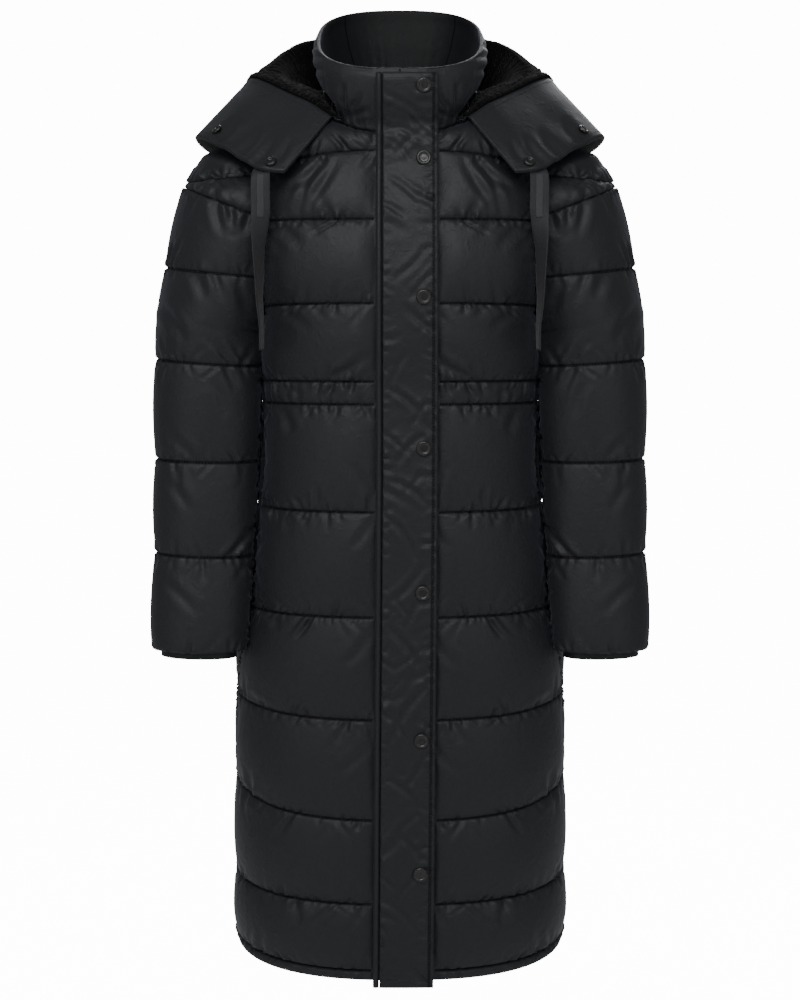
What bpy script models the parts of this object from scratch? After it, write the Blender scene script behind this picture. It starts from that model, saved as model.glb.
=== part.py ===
"""Long puffer coat with an open hood, in its worn and filled-out form.

Metres, +Z up. The front faces -Y and the wearer's right is -X. The origin is the middle of the
neck seam, where the wearer's neck and shoulders carry the coat. Each piece is a closed cloth
wall: its outer points are raised between the quilting lines and its inner points are plain.
"""

import math

import bmesh
import bpy
import numpy as np
from mathutils import Vector
from mathutils.bvhtree import BVHTree

SEAM_GAP = 0.0004
PANEL_WALL = 0.0035
PANEL_LOFT = 0.009
SLEEVE_LOFT = 0.005
COLLAR_LOFT = 0.007
PUFF_ROUNDNESS = 0.7

SHELL_COLOR = (0.020, 0.022, 0.025)
SHERPA_COLOR = (0.009, 0.009, 0.010)
TAPE_COLOR = (0.030, 0.031, 0.033)
SNAP_COLOR = (0.018, 0.018, 0.019)


class Table:
    """Rows of numbers under named columns, read between the rows on smooth curves."""

    def __init__(self, columns, rows):
        self.columns = columns.split()
        self.rows = np.array(rows, dtype=float)

    def column(self, name):
        return self.rows[:, self.columns.index(name)]

    def at(self, name, key):
        """The named column where the first column equals key, on a monotone cubic."""
        return monotone(self.rows[:, 0], self.column(name), key)


def monotone(keys, values, at):
    """Cubic Hermite curve through (keys, values) that never overshoots a row."""
    keys = np.asarray(keys, dtype=float)
    values = np.asarray(values, dtype=float)
    if keys[0] > keys[-1]:
        keys = keys[::-1]
        values = values[::-1]
    steps = np.diff(keys)
    slopes = np.diff(values) / steps
    tangents = np.zeros_like(values)
    tangents[0] = slopes[0]
    tangents[-1] = slopes[-1]
    rising = slopes[:-1] * slopes[1:] > 0
    mean = 2 * slopes[:-1] * slopes[1:] / np.where(rising, slopes[:-1] + slopes[1:], 1)
    tangents[1:-1] = np.where(rising, mean, 0)
    at = np.clip(np.asarray(at, dtype=float), keys[0], keys[-1])
    index = np.clip(np.searchsorted(keys, at, side="right") - 1, 0, len(steps) - 1)
    step = steps[index]
    t = (at - keys[index]) / step
    return (
        values[index] * (2 * t**3 - 3 * t**2 + 1)
        + tangents[index] * step * (t**3 - 2 * t**2 + t)
        + values[index + 1] * (3 * t**2 - 2 * t**3)
        + tangents[index + 1] * step * (t**3 - t**2)
    )


# Sizes of the body. half_width is at the side, front and back are depths from the Y axis.
BODY = Table(
    "z half_width front back",
    [
        (-0.016, 0.180, 0.109, 0.088),
        (-0.037, 0.180, 0.110, 0.104),
        (-0.124, 0.180, 0.134, 0.120),
        (-0.229, 0.180, 0.147, 0.122),
        (-0.268, 0.1765, 0.147, 0.119),
        (-0.308, 0.1808, 0.144, 0.115),
        (-0.340, 0.1818, 0.142, 0.112),
        (-0.428, 0.1810, 0.145, 0.118),
        (-0.506, 0.1894, 0.149, 0.126),
        (-0.638, 0.203, 0.152, 0.133),
        (-0.719, 0.2155, 0.154, 0.136),
        (-0.769, 0.2170, 0.155, 0.138),
        (-0.893, 0.2190, 0.158, 0.141),
        (-1.110, 0.2215, 0.160, 0.143),
    ],
)
BODY_SQUARENESS = 2.4

# The side seam lies forward of the widest line, where the pockets open. puff_over is the width
# over which the filling thins out towards it.
SIDE_SEAM = Table(
    "z y puff_over",
    [
        (-0.268, 0.000, 0.070),
        (-0.300, -0.018, 0.080),
        (-0.340, -0.030, 0.090),
        (-0.430, -0.049, 0.090),
        (-0.560, -0.056, 0.090),
        (-0.640, -0.052, 0.090),
        (-0.700, -0.044, 0.085),
        (-0.760, -0.028, 0.080),
        (-0.830, -0.016, 0.080),
        (-0.900, -0.008, 0.080),
        (-1.110, -0.004, 0.080),
    ],
)

# Quilting lines: heights at the centre front, the side seam or armhole, and the centre back.
QUILT = Table(
    "line front side back",
    [
        (1, -0.037, -0.066, -0.060),
        (2, -0.124, -0.125, -0.124),
        (3, -0.229, -0.235, -0.235),
        (4, -0.328, -0.333, -0.333),
        (5, -0.357, -0.361, -0.361),
        (6, -0.494, -0.496, -0.500),
        (7, -0.629, -0.630, -0.636),
        (8, -0.762, -0.747, -0.758),
        (9, -0.893, -0.856, -0.875),
        (10, -1.004, -0.989, -0.998),
        (11, -1.092, -1.071, -1.076),
        (12, -1.105, -1.084, -1.089),
    ],
)
LINE_CURVE = 2.2
FULL_BAFFLE = 0.085
BAFFLE_STEPS = (0.0, 0.12, 0.35, 0.65, 0.88)
SHORT_BAFFLE = 0.040
SHORT_STEPS = (0.0, 0.5)

# The armhole is an oval around the shoulder end. reach is its distance from the middle plane.
ARM_TOP_Z = -0.028
ARM_BOTTOM_Z = -0.268
ARM_FRONT = 0.092
ARM_BACK = 0.086
ARMHOLE = Table(
    "turn_deg reach",
    [(0, 0.198), (25, 0.185), (50, 0.171), (78, 0.169), (104, 0.174), (130, 0.176), (180, 0.1765)],
)

# The neck seam and the top of the collar, both slanting up towards the back.
NECK_SQUARENESS = 2.7
COLLAR = Table(
    "height half_width half_depth",
    [
        (0.00, 0.086, 0.089),
        (0.10, 0.087, 0.090),
        (0.32, 0.098, 0.099),
        (0.55, 0.108, 0.107),
        (0.85, 0.113, 0.111),
        (1.00, 0.108, 0.109),
    ],
)
NECK_Y = -0.015
NECK_MIDDLE_Z = 0.022
NECK_SLANT = 0.038
COLLAR_TOP_Z = 0.107
COLLAR_TOP_SLANT = 0.047
COLLAR_BASE_Z = NECK_MIDDLE_Z - NECK_SLANT
COLLAR_WALL = 0.005


def material(name, color, roughness, metallic=0.0):
    made = bpy.data.materials.new(name)
    made.use_nodes = True
    shader = made.node_tree.nodes["Principled BSDF"]
    shader.inputs["Base Color"].default_value = (*color, 1)
    shader.inputs["Roughness"].default_value = roughness
    shader.inputs["Metallic"].default_value = metallic
    return made


def add_object(name, points, faces, finish, sharp_deg=40):
    """A closed mesh from points and faces, facing out and shaded smooth."""
    mesh = bpy.data.meshes.new(name)
    mesh.from_pydata(np.asarray(points).tolist(), [], faces)
    shape = bmesh.new()
    shape.from_mesh(mesh)
    bmesh.ops.recalc_face_normals(shape, faces=shape.faces)
    shape.to_mesh(mesh)
    shape.free()
    mesh.shade_smooth()
    mesh.set_sharp_from_angle(angle=math.radians(sharp_deg))
    mesh.materials.append(finish)
    made = bpy.data.objects.new(name, mesh)
    bpy.context.collection.objects.link(made)
    return made


def unit(vectors):
    return vectors / np.maximum(np.linalg.norm(vectors, axis=-1, keepdims=True), 1e-12)


def grid_normals(grid):
    """Unit normals of a grid of points, as the cross product of its two directions."""
    down = np.gradient(grid, axis=0)
    across = np.gradient(grid, axis=1)
    return unit(np.cross(down, across))


def at_distances(points, distances, values=None):
    """Points at the given distances along a polyline, or values known at its points."""
    known = points if values is None else values
    steps = np.linalg.norm(np.diff(points, axis=0), axis=1)
    travelled = np.concatenate([[0], np.cumsum(steps)])
    return np.stack([np.interp(distances, travelled, known[:, i]) for i in range(3)], axis=1)


def length_of(points):
    return float(np.linalg.norm(np.diff(points, axis=0), axis=1).sum())


def grid_faces(rows, columns, start, around):
    """Triangles over a grid of rows x columns points whose first point has index start."""
    last = columns if around else columns - 1
    faces = []
    for r in range(rows - 1):
        for c in range(last):
            here = start + r * columns + c
            beside = start + r * columns + (c + 1) % columns
            faces.append((here, beside, beside + columns))
            faces.append((here, beside + columns, here + columns))
    return faces


def rim_faces(outer, inner, outer_at, inner_at):
    """Faces between two borders whose points lie at the given stations along it."""
    faces = []
    a = 0
    b = 0
    while a < len(outer) - 1 or b < len(inner) - 1:
        next_a = outer_at[a + 1] if a < len(outer) - 1 else math.inf
        next_b = inner_at[b + 1] if b < len(inner) - 1 else math.inf
        if next_a == next_b:
            faces.append((outer[a], outer[a + 1], inner[b]))
            faces.append((outer[a + 1], inner[b + 1], inner[b]))
            a += 1
            b += 1
        elif next_a < next_b:
            faces.append((outer[a], outer[a + 1], inner[b]))
            a += 1
        else:
            faces.append((outer[a], inner[b + 1], inner[b]))
            b += 1
    return faces


def wall(name, outer, inner, rows, columns, finish, around=False):
    """A closed wall between two grids. rows and columns say where the inner grid's lines lie
    among the outer grid's. A wall that goes around has its last column next to its first."""
    outer_rows, outer_columns = outer.shape[:2]
    inner_rows, inner_columns = inner.shape[:2]
    start = outer_rows * outer_columns
    outer_index = np.arange(start).reshape(outer_rows, outer_columns)
    inner_index = start + np.arange(inner_rows * inner_columns).reshape(inner_rows, inner_columns)
    faces = grid_faces(outer_rows, outer_columns, 0, around)
    faces += [face[::-1] for face in grid_faces(inner_rows, inner_columns, start, around)]
    across = list(range(outer_columns))
    down = list(range(outer_rows))
    borders = [(0, False), (-1, True)]
    for row, flip in borders:
        near = list(outer_index[row])
        far = list(inner_index[row])
        near_at = list(across)
        far_at = list(columns)
        if around:
            near.append(near[0])
            far.append(far[0])
            near_at.append(outer_columns)
            far_at.append(outer_columns)
        made = rim_faces(near, far, near_at, far_at)
        faces += [face[::-1] for face in made] if flip else made
    if not around:
        for column, flip in ((0, True), (-1, False)):
            made = rim_faces(
                list(outer_index[:, column]), list(inner_index[:, column]), down, list(rows)
            )
            faces += [face[::-1] for face in made] if flip else made
    points = np.concatenate([outer.reshape(-1, 3), inner.reshape(-1, 3)])
    return add_object(name, points, [tuple(int(i) for i in face) for face in faces], finish)


def mirrored(grid):
    return grid * np.array([-1.0, 1.0, 1.0])


def rise(distance, over):
    """0 at a seam and 1 past the given distance from it, round at the top."""
    t = np.clip(distance / over, 0, 1)
    return 1 - (1 - t) ** 2


def puff(step):
    """Height of a filled baffle at a step from 0 to 1 between its two quilting lines."""
    return (1 - (2 * step - 1) ** 2) ** PUFF_ROUNDNESS


# ---------------------------------------------------------------- neck, armhole and body curves


def neck_loop(turn, height, outward=0.0):
    """Points of the collar at turns from 0, the centre front, over the wearer's right side to
    pi, the centre back. height is 0 at the neck seam and 1 at the collar's top edge."""
    half_width = COLLAR.at("half_width", height) + outward
    half_depth = COLLAR.at("half_depth", height) + outward
    power = 2 / NECK_SQUARENESS
    sine = np.sin(turn)
    cosine = np.cos(turn)
    middle = NECK_MIDDLE_Z + (COLLAR_TOP_Z - NECK_MIDDLE_Z) * height
    slant = NECK_SLANT + (COLLAR_TOP_SLANT - NECK_SLANT) * height
    x = -half_width * np.sign(sine) * np.abs(sine) ** power
    y = NECK_Y - half_depth * np.sign(cosine) * np.abs(cosine) ** power
    z = middle + slant * (y - NECK_Y) / half_depth
    return np.stack(np.broadcast_arrays(x, y, z), axis=-1)


def arm_turn(z):
    """Turn around the armhole, from 0 at the shoulder to pi at the underarm, at a height."""
    middle = (ARM_TOP_Z + ARM_BOTTOM_Z) / 2
    half = (ARM_TOP_Z - ARM_BOTTOM_Z) / 2
    return np.arccos(np.clip((z - middle) / half, -1, 1))


def arm_point(turn, depth):
    """A point of the armhole. depth is negative on the front and positive on the back."""
    middle = (ARM_TOP_Z + ARM_BOTTOM_Z) / 2
    half = (ARM_TOP_Z - ARM_BOTTOM_Z) / 2
    reach = ARMHOLE.at("reach", np.degrees(turn))
    return np.stack([-reach, depth * np.sin(turn), middle + half * np.cos(turn)], axis=-1)


def shoulder_point(step):
    """A point of the shoulder seam, from the neck at step 0 to the armhole at step 1."""
    neck = neck_loop(np.array(math.pi / 2), 0.0)
    end = arm_point(np.array(0.0), ARM_FRONT)
    return neck + (end - neck) * np.asarray(step)[..., None]


def armhole_section(side_z, depth, front):
    """Half width of the superellipse through the armhole at a height, and its turn there."""
    power = 2 / BODY_SQUARENESS
    seam = arm_point(arm_turn(side_z), -ARM_FRONT if front else ARM_BACK)
    end_turn = math.acos((abs(seam[1]) / depth) ** (1 / power))
    return -seam[0] / math.sin(end_turn) ** power, end_turn


def section(middle_z, side_z, depth_name, front):
    """Half a section of the body as a dense polyline from the middle plane to the side seam or
    the armhole, with its outward directions: a superellipse whose height changes along it."""
    samples = np.linspace(0, 1, 240)
    z = middle_z + (side_z - middle_z) * samples**LINE_CURVE
    depth = BODY.at(depth_name, z)
    power = 2 / BODY_SQUARENESS
    if side_z > ARM_BOTTOM_Z:
        half_width, end_turn = armhole_section(side_z, depth[-1], front)
        crossing = 0.0
    else:
        seam_y = float(SIDE_SEAM.at("y", side_z))
        half_width = BODY.at("half_width", z)
        crossing = 0.0 if front else -seam_y
        limit = BODY.at("front", side_z) if front else depth[-1]
        end_turn = math.acos((abs(seam_y) / limit) ** (1 / power)) if front else math.pi / 2
    turn = samples * end_turn
    x = -half_width * np.sin(turn) ** power
    y = depth * np.cos(turn) ** power
    points = np.stack([x, -y if front else y, z], axis=1)
    out = np.stack(
        [
            -(np.sin(turn) ** (2 - power)) / half_width,
            (np.cos(turn) ** (2 - power)) / depth * (-1 if front else 1),
            np.zeros_like(z),
        ],
        axis=1,
    )
    if crossing:
        wrap_depth = float(BODY.at("front", side_z))
        wrap_width = float(BODY.at("half_width", side_z))
        wrap_end = math.asin((crossing / wrap_depth) ** (1 / power))
        wrap_turn = np.linspace(0, wrap_end, 40)[1:]
        wrap = np.stack(
            [
                -wrap_width * np.cos(wrap_turn) ** power,
                -wrap_depth * np.sin(wrap_turn) ** power,
                np.full_like(wrap_turn, side_z),
            ],
            axis=1,
        )
        wrap_out = np.stack(
            [
                -(np.cos(wrap_turn) ** (2 - power)) / wrap_width,
                -(np.sin(wrap_turn) ** (2 - power)) / wrap_depth,
                np.zeros_like(wrap_turn),
            ],
            axis=1,
        )
        points = np.concatenate([points, wrap])
        out = np.concatenate([out, wrap_out])
    return points, unit(out)


def body_rows(column):
    """Heights (middle, side) and filled height of every row of a body panel, from quilting line
    1 down to the hem."""
    middle = QUILT.column(column)
    side = QUILT.column("side")
    rows = []
    lines = []
    for k in range(len(middle) - 1):
        tall = middle[k] - middle[k + 1]
        steps = BAFFLE_STEPS if tall > SHORT_BAFFLE else SHORT_STEPS
        loft = PANEL_LOFT * min(1.0, tall / FULL_BAFFLE)
        lines.append(len(rows))
        for step in steps:
            rows.append(
                (
                    middle[k] + (middle[k + 1] - middle[k]) * step,
                    side[k] + (side[k + 1] - side[k]) * step,
                    loft * puff(step),
                )
            )
    lines.append(len(rows))
    rows.append((middle[-1], side[-1], 0.0))
    return rows, lines


# ---------------------------------------------------------------- body panels

FLAP_RIGHT_X = -0.0315
FLAP_LEFT_X = 0.0490
FLAP_BOTTOM_Z = -1.113
FLAP_LEAN = -0.005
FLAP_LEAN_FROM_Z = -0.45
EDGE_RISE = 0.030
SEAM_COLUMN = 0.011
SIDE_GAP = 0.0003
UNDERARM_RISE = 0.070
YOKE_LOFT = 0.005
YOKE_STEPS = (0.0, 0.15, 0.4, 0.7, 0.9)
YOKE_BEND = (0.12, 0.88)
NECK_UPWARD = 0.8
FRONT_NECK_COLUMNS = 8
BACK_NECK_COLUMNS = 6
ARMHOLE_LINE = 4
WAIST_LINE = 7


def flap_shift(z):
    """Sideways lean of the closing towards the hem."""
    return FLAP_LEAN * np.clip((z - FLAP_LEAN_FROM_Z) / (FLAP_BOTTOM_Z - FLAP_LEAN_FROM_Z), 0, 1)


def front_columns(length, flat):
    """Distances of a front's columns from its centre edge. The strip under the storm flap, of
    width flat, isn't filled."""
    inner = [SEAM_GAP / 2, flat, flat + SEAM_COLUMN, flat + EDGE_RISE]
    middle = np.linspace(flat + EDGE_RISE, length - EDGE_RISE, 6)[1:]
    return np.concatenate([inner, middle, [length - SEAM_COLUMN, length - SIDE_GAP]])


def back_columns(length, count=9):
    """Distances of half the back's columns from the centre back."""
    middle = np.linspace(0, length - EDGE_RISE, count - 1)
    return np.concatenate([middle, [length - SEAM_COLUMN, length - SIDE_GAP]])


def top_border(columns, front, flat):
    """Top points of a body panel: along the neck seam to the shoulder and out along the shoulder
    seam, with their outward directions."""
    turns = np.linspace(0, math.pi / 2, 200)
    if not front:
        turns = math.pi - turns
    neck = neck_loop(turns, 0.0)
    length = length_of(neck)
    if front:
        near = [SEAM_GAP / 2, flat, flat + SEAM_COLUMN, flat + EDGE_RISE]
        rest = np.linspace(flat + EDGE_RISE, length, FRONT_NECK_COLUMNS - len(near) + 1)[1:]
        distances = np.concatenate([near, rest])
    else:
        distances = np.linspace(0, length, BACK_NECK_COLUMNS)
    along_neck = at_distances(neck, distances)
    steps = np.linspace(0, 1, columns - len(distances) + 1)[1:]
    shoulder = shoulder_point(steps)
    shoulder[:, 1] += -SEAM_GAP / 2 if front else SEAM_GAP / 2
    shoulder[-1, 0] += SEAM_GAP
    neck_out = along_neck * np.array([1, 1, 0]) - np.array([0, NECK_Y, 0])
    neck_out = unit(neck_out) + np.array([0, 0, NECK_UPWARD])
    slope = shoulder_point(1.0) - shoulder_point(0.0)
    across = np.array([slope[2], 0, -slope[0]])
    out = np.concatenate([neck_out, np.broadcast_to(unit(across), shoulder.shape)])
    return np.concatenate([along_neck, shoulder]), unit(out)


def yoke(first, first_out, top, top_out):
    """Rows from the top border down to the first quilting line, each column on a curve that
    rises up the chest or back and then rolls over towards the shoulder seam."""
    bend = np.stack(
        [
            (first[:, 0] + top[:, 0]) / 2,
            first[:, 1] + YOKE_BEND[0] * (top[:, 1] - first[:, 1]),
            first[:, 2] + YOKE_BEND[1] * (top[:, 2] - first[:, 2]),
        ],
        axis=1,
    )
    rows = []
    outs = []
    for step in YOKE_STEPS:
        rows.append(top * (1 - step) ** 2 + bend * 2 * step * (1 - step) + first * step**2)
        outs.append(unit(top_out * (1 - step) + first_out * step))
    return rows, outs


def snap_to_armhole(row, front):
    """Moves a yoke row's last point onto the armhole at its height."""
    edge = arm_point(arm_turn(min(row[-1, 2], ARM_TOP_Z)), -ARM_FRONT if front else ARM_BACK)
    row[-1] = edge + np.array([SEAM_GAP, 0, 0])


def panel_grids(front, flap_x=0.0):
    """Base points, outward directions and filled heights of half the body, on the wearer's
    right, with the places of its quilting lines. flap_x is the far edge of the storm flap."""
    flat = abs(flap_x)
    rows, lines = body_rows("front" if front else "back")
    base = []
    outs = []
    lofts = []
    for middle_z, side_z, loft in rows:
        points, out = section(middle_z, side_z, "front" if front else "back", front)
        length = length_of(points)
        flat = abs(flap_x + float(flap_shift(middle_z)))
        distances = front_columns(length, flat) if front else back_columns(length)
        base.append(at_distances(points, distances))
        outs.append(unit(at_distances(points, distances, out)))
        from_edge = rise(length - distances, float(SIDE_SEAM.at("puff_over", side_z)))
        from_flat = rise(distances - flat, EDGE_RISE) if front else 1.0
        underarm = np.linalg.norm(base[-1] - arm_point(math.pi, 0.0), axis=1)
        lofts.append(loft * from_edge * from_flat * rise(underarm, UNDERARM_RISE))
    top, top_out = top_border(base[0].shape[0], front, abs(flap_x))
    yoke_rows, yoke_outs = yoke(base[0], outs[0], top, top_out)
    shape = lofts[len(BAFFLE_STEPS) // 2] / PANEL_LOFT
    for step in range(1, len(YOKE_STEPS)):
        snap_to_armhole(yoke_rows[step], front)
    yoke_lofts = [YOKE_LOFT * puff(step) * shape for step in YOKE_STEPS]
    base = np.array(yoke_rows + base)
    outs = np.array(yoke_outs + outs)
    lofts = np.array(yoke_lofts + lofts)
    lines = [0, 3] + [line + len(YOKE_STEPS) for line in lines]
    return base, outs, lofts, lines


def inner_rows(lines):
    """Rows of a panel's inner side: its quilting lines, every row around the bottom of the
    armhole and where the waist draws in, and the middle of each baffle below."""
    rows = lines[:ARMHOLE_LINE] + list(range(lines[ARMHOLE_LINE], lines[WAIST_LINE]))
    below = lines[WAIST_LINE:]
    for line, next_line in zip(below, below[1:]):
        rows += [line, (line + next_line) // 2]
    return rows + [lines[-1]]


def make_fronts(finish):
    made = []
    for name, flap_x, mirror in (
        ("front_right", FLAP_RIGHT_X, False),
        ("front_left", FLAP_LEFT_X, True),
    ):
        base, outs, lofts, lines = panel_grids(True, flap_x)
        outer = base + outs * lofts[..., None]
        inner = base - outs * PANEL_WALL
        lines = inner_rows(lines)
        columns = [0, 1, 3, 5, 7, 9, base.shape[1] - 1]
        inner = inner[lines][:, columns]
        if mirror:
            outer = mirrored(outer)
            inner = mirrored(inner)
        made.append(wall(name, outer, inner, lines, columns, finish))
    return made


def make_back(finish):
    base, outs, lofts, lines = panel_grids(False)
    outer = base + outs * lofts[..., None]
    inner = base - outs * PANEL_WALL
    lines = inner_rows(lines)
    outer = np.concatenate([outer[:, :0:-1], mirrored(outer)], axis=1)
    inner = np.concatenate([inner[:, :0:-1], mirrored(inner)], axis=1)
    last = outer.shape[1] - 1
    side = [0, 2, 4, 6]
    columns = side + [last // 2] + [last - column for column in side[::-1]]
    inner = inner[lines][:, columns]
    return wall("back", outer, inner, lines, columns, finish)


# ---------------------------------------------------------------- sleeves

# Sections of a sleeve: out is its outer line, in its inner line or the armhole, step counts its
# quilting lines, middle_y is where those lines hang, and front and back are the depths of the
# sleeve before and behind them.
SLEEVE = Table(
    "step out_x out_z in_z in_x front back middle_y",
    [
        (0.00, -0.1990, -0.028, -0.030, -0.1980, 0.021, 0.020, 0.000),
        (0.35, -0.2270, -0.031, -0.035, -0.1900, 0.036, 0.034, 0.000),
        (0.70, -0.2580, -0.046, -0.049, -0.1800, 0.058, 0.054, 0.000),
        (1.00, -0.2790, -0.076, -0.066, -0.1750, 0.072, 0.068, 0.000),
        (2.00, -0.2820, -0.082, -0.125, -0.1700, 0.094, 0.088, 0.000),
        (3.00, -0.3080, -0.186, -0.198, -0.1760, 0.096, 0.090, 0.000),
        (3.60, -0.3170, -0.258, -0.270, -0.1790, 0.084, 0.091, -0.010),
        (3.75, -0.3180, -0.276, -0.286, -0.1804, 0.072, 0.096, -0.022),
        (4.00, -0.3190, -0.304, -0.313, -0.1826, 0.060, 0.100, -0.034),
        (5.00, -0.3198, -0.434, -0.437, -0.1878, 0.051, 0.089, -0.045),
        (6.00, -0.3205, -0.556, -0.560, -0.1950, 0.046, 0.078, -0.060),
        (7.00, -0.3245, -0.680, -0.682, -0.2025, 0.043, 0.066, -0.082),
    ],
)
SLEEVE_STEPS = {
    0: (0.0, 0.2, 0.5, 0.8),
    1: (0.0, 0.3, 0.7),
    2: BAFFLE_STEPS,
    3: BAFFLE_STEPS,
    4: BAFFLE_STEPS,
    5: BAFFLE_STEPS,
    6: BAFFLE_STEPS,
}
SLEEVE_COLUMNS = (0.0, 0.13, 0.26, 0.39, 0.52, 0.65, 0.78, 0.90, 1.0)
SLEEVE_END = 7.0
FULL_SLEEVE_BAFFLE = 0.06
SLEEVE_EDGE_RISE = 0.060
CUFF_TOP_STEP = 6.72
CUFF_TOP_IN = 0.0060
CUFF_BOTTOM_IN = 0.012
CUFF_DROP = 0.010
CUFF_WALL = 0.002
CUFF_COLUMNS = 20


def sleeve_half(step, front, inward=0.0):
    """Dense points from a sleeve's outer line to its inner seam or the armhole, at a step."""
    out_x = float(SLEEVE.at("out_x", step)) + inward
    out_z = float(SLEEVE.at("out_z", step))
    in_z = float(SLEEVE.at("in_z", step))
    middle_y = float(SLEEVE.at("middle_y", step))
    depth = float(SLEEVE.at("front" if front else "back", step)) - inward
    if in_z > ARM_BOTTOM_Z:
        seam = arm_point(arm_turn(in_z), -ARM_FRONT if front else ARM_BACK)
        in_x = seam[0] - SEAM_GAP
        past = math.asin(min(1.0, abs(seam[1]) / depth))
    else:
        in_x = float(SLEEVE.at("in_x", step)) - inward
        past = 0.0
    half_width = (in_x - out_x) / (1 + math.cos(past))
    turn = np.linspace(0, math.pi - past, 160)
    x = out_x + half_width * (1 - np.cos(turn))
    y = middle_y + depth * np.sin(turn) * (-1 if front else 1)
    z = out_z + (in_z - out_z) * (x - out_x) / (in_x - out_x)
    return np.stack([x, y, z], axis=1)


def sleeve_row(step):
    """One row of a sleeve from its front edge over the outer line to its back edge, with how
    full each point may be."""
    halves = []
    fullness = []
    open_seam = float(SLEEVE.at("in_z", step)) > ARM_BOTTOM_Z
    for front in (True, False):
        points = sleeve_half(step, front)
        length = length_of(points) - (0 if open_seam else SEAM_GAP)
        distances = np.array(SLEEVE_COLUMNS) * length
        halves.append(at_distances(points, distances))
        fullness.append(rise(length - distances, SLEEVE_EDGE_RISE))
    row = np.concatenate([halves[0][::-1], halves[1][1:]])
    return row, np.concatenate([fullness[0][::-1], fullness[1][1:]])


def make_sleeves(finish):
    base = []
    lofts = []
    lines = []
    for line, steps in SLEEVE_STEPS.items():
        lines.append(len(base))
        ends = np.array([line, line + 1.0])
        outer_span = abs(float(np.diff(SLEEVE.at("out_z", ends))[0]))
        inner_span = abs(float(np.diff(SLEEVE.at("in_z", ends))[0]))
        baffle_loft = SLEEVE_LOFT * min(1.0, max(outer_span, inner_span) / FULL_SLEEVE_BAFFLE)
        for step in steps:
            row, fullness = sleeve_row(line + step)
            base.append(row)
            lofts.append(baffle_loft * puff(step) * fullness)
    lines.append(len(base))
    row, fullness = sleeve_row(SLEEVE_END)
    base.append(row)
    lofts.append(np.zeros_like(fullness))
    base = np.array(base)
    outs = -grid_normals(base)
    outer = base + outs * np.array(lofts)[..., None]
    inner = base - outs * PANEL_WALL
    columns = list(range(base.shape[1]))
    for name, mirror in (("sleeve_right", False), ("sleeve_left", True)):
        near = mirrored(inner) if mirror else inner
        far = mirrored(outer) if mirror else outer
        wall(name, far, near[lines][:, columns], lines, columns, finish)


def cuff_ring(step, inward, drop=0.0):
    """A closed ring just inside a sleeve."""
    front = sleeve_half(step, True, inward)
    back = sleeve_half(step, False, inward)
    ring = np.concatenate([front, back[-2:0:-1]])
    closed = np.concatenate([ring, ring[:1]])
    distances = np.linspace(0, length_of(closed), CUFF_COLUMNS + 1)[:-1]
    points = at_distances(closed, distances)
    points[:, 2] -= drop
    return points


def make_storm_cuffs(finish):
    rings = (
        (CUFF_TOP_STEP, CUFF_TOP_IN, 0.0),
        ((CUFF_TOP_STEP + SLEEVE_END) / 2, (CUFF_TOP_IN + CUFF_BOTTOM_IN) / 2, 0.0),
        (SLEEVE_END, CUFF_BOTTOM_IN, 0.0),
        (SLEEVE_END, CUFF_BOTTOM_IN, CUFF_DROP),
    )
    outer = np.array([cuff_ring(*ring) for ring in rings])
    inner = np.array([cuff_ring(step, inward + CUFF_WALL, drop) for step, inward, drop in rings])
    rows = list(range(len(rings)))
    columns = list(range(CUFF_COLUMNS))
    wall("storm_cuff_right", outer, inner, rows, columns, finish, around=True)
    wall("storm_cuff_left", mirrored(outer), mirrored(inner), rows, columns, finish, around=True)


# ---------------------------------------------------------------- collar

COLLAR_LIFT = 0.0020
COLLAR_HEIGHTS = (0.0, 0.08, 0.25, 0.45, 0.65, 0.85, 0.95, 1.0)
COLLAR_INNER = (0, 2, 4, 7)
COLLAR_FLAT = 0.052


def collar_ring(height, outward):
    """Points around the collar from the right edge of its front opening to the left edge."""
    turns = np.linspace(0, math.pi, 300)
    half = neck_loop(turns, height, outward)
    length = length_of(half)
    distances = np.concatenate(
        [[SEAM_GAP, COLLAR_FLAT / 2], np.linspace(COLLAR_FLAT, length, 10)]
    )
    points = at_distances(half, distances)
    points[:, 2] += COLLAR_LIFT
    return np.concatenate([points, mirrored(points)[-2::-1]])


def make_collar(finish):
    outer = np.array([collar_ring(height, 0.0) for height in COLLAR_HEIGHTS])
    inner = np.array(
        [
            collar_ring(COLLAR_HEIGHTS[row], -COLLAR_WALL - COLLAR_LOFT * puff(COLLAR_HEIGHTS[row]))
            for row in COLLAR_INNER
        ]
    )
    columns = list(range(0, outer.shape[1], 2))
    return wall("collar", outer, inner[:, columns], list(COLLAR_INNER), columns, finish)


# ---------------------------------------------------------------- storm flap, welt and snaps

FLAP_EDGES_X = (-0.0218, 0.0480)
WELT_EDGES_X = (-0.0305, -0.0225)
FLAP_NEAR = 0.0034
FLAP_FAR = 0.0064
WELT_NEAR = 0.0012
WELT_FAR = 0.0072
WELT_FULLNESS = (0.6, 1.0, 0.6)
FLAP_COLUMNS = 6
FLAP_HEIGHTS = (0.058, 0.045, 0.020, -0.001, -0.016, -0.037, -0.080, -0.124, -0.175, -0.229)
NECK_EASE = 0.015
FLAP_ROW = 0.045
SNAP_X = 0.0300
SNAP_HEIGHTS = (0.042, -0.047, -0.221, -0.412, -0.596, -0.787, -0.962)
SNAP_SIDES = 14
SNAP_PROFILE = (
    (0.0093, 0.0),
    (0.0094, 0.0014),
    (0.0082, 0.0026),
    (0.0060, 0.0026),
    (0.0050, 0.0019),
)
SOCKET_PROFILE = (
    (0.0072, 0.0),
    (0.0073, 0.0012),
    (0.0060, 0.0026),
    (0.0040, 0.0024),
    (0.0030, 0.0010),
)


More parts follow.
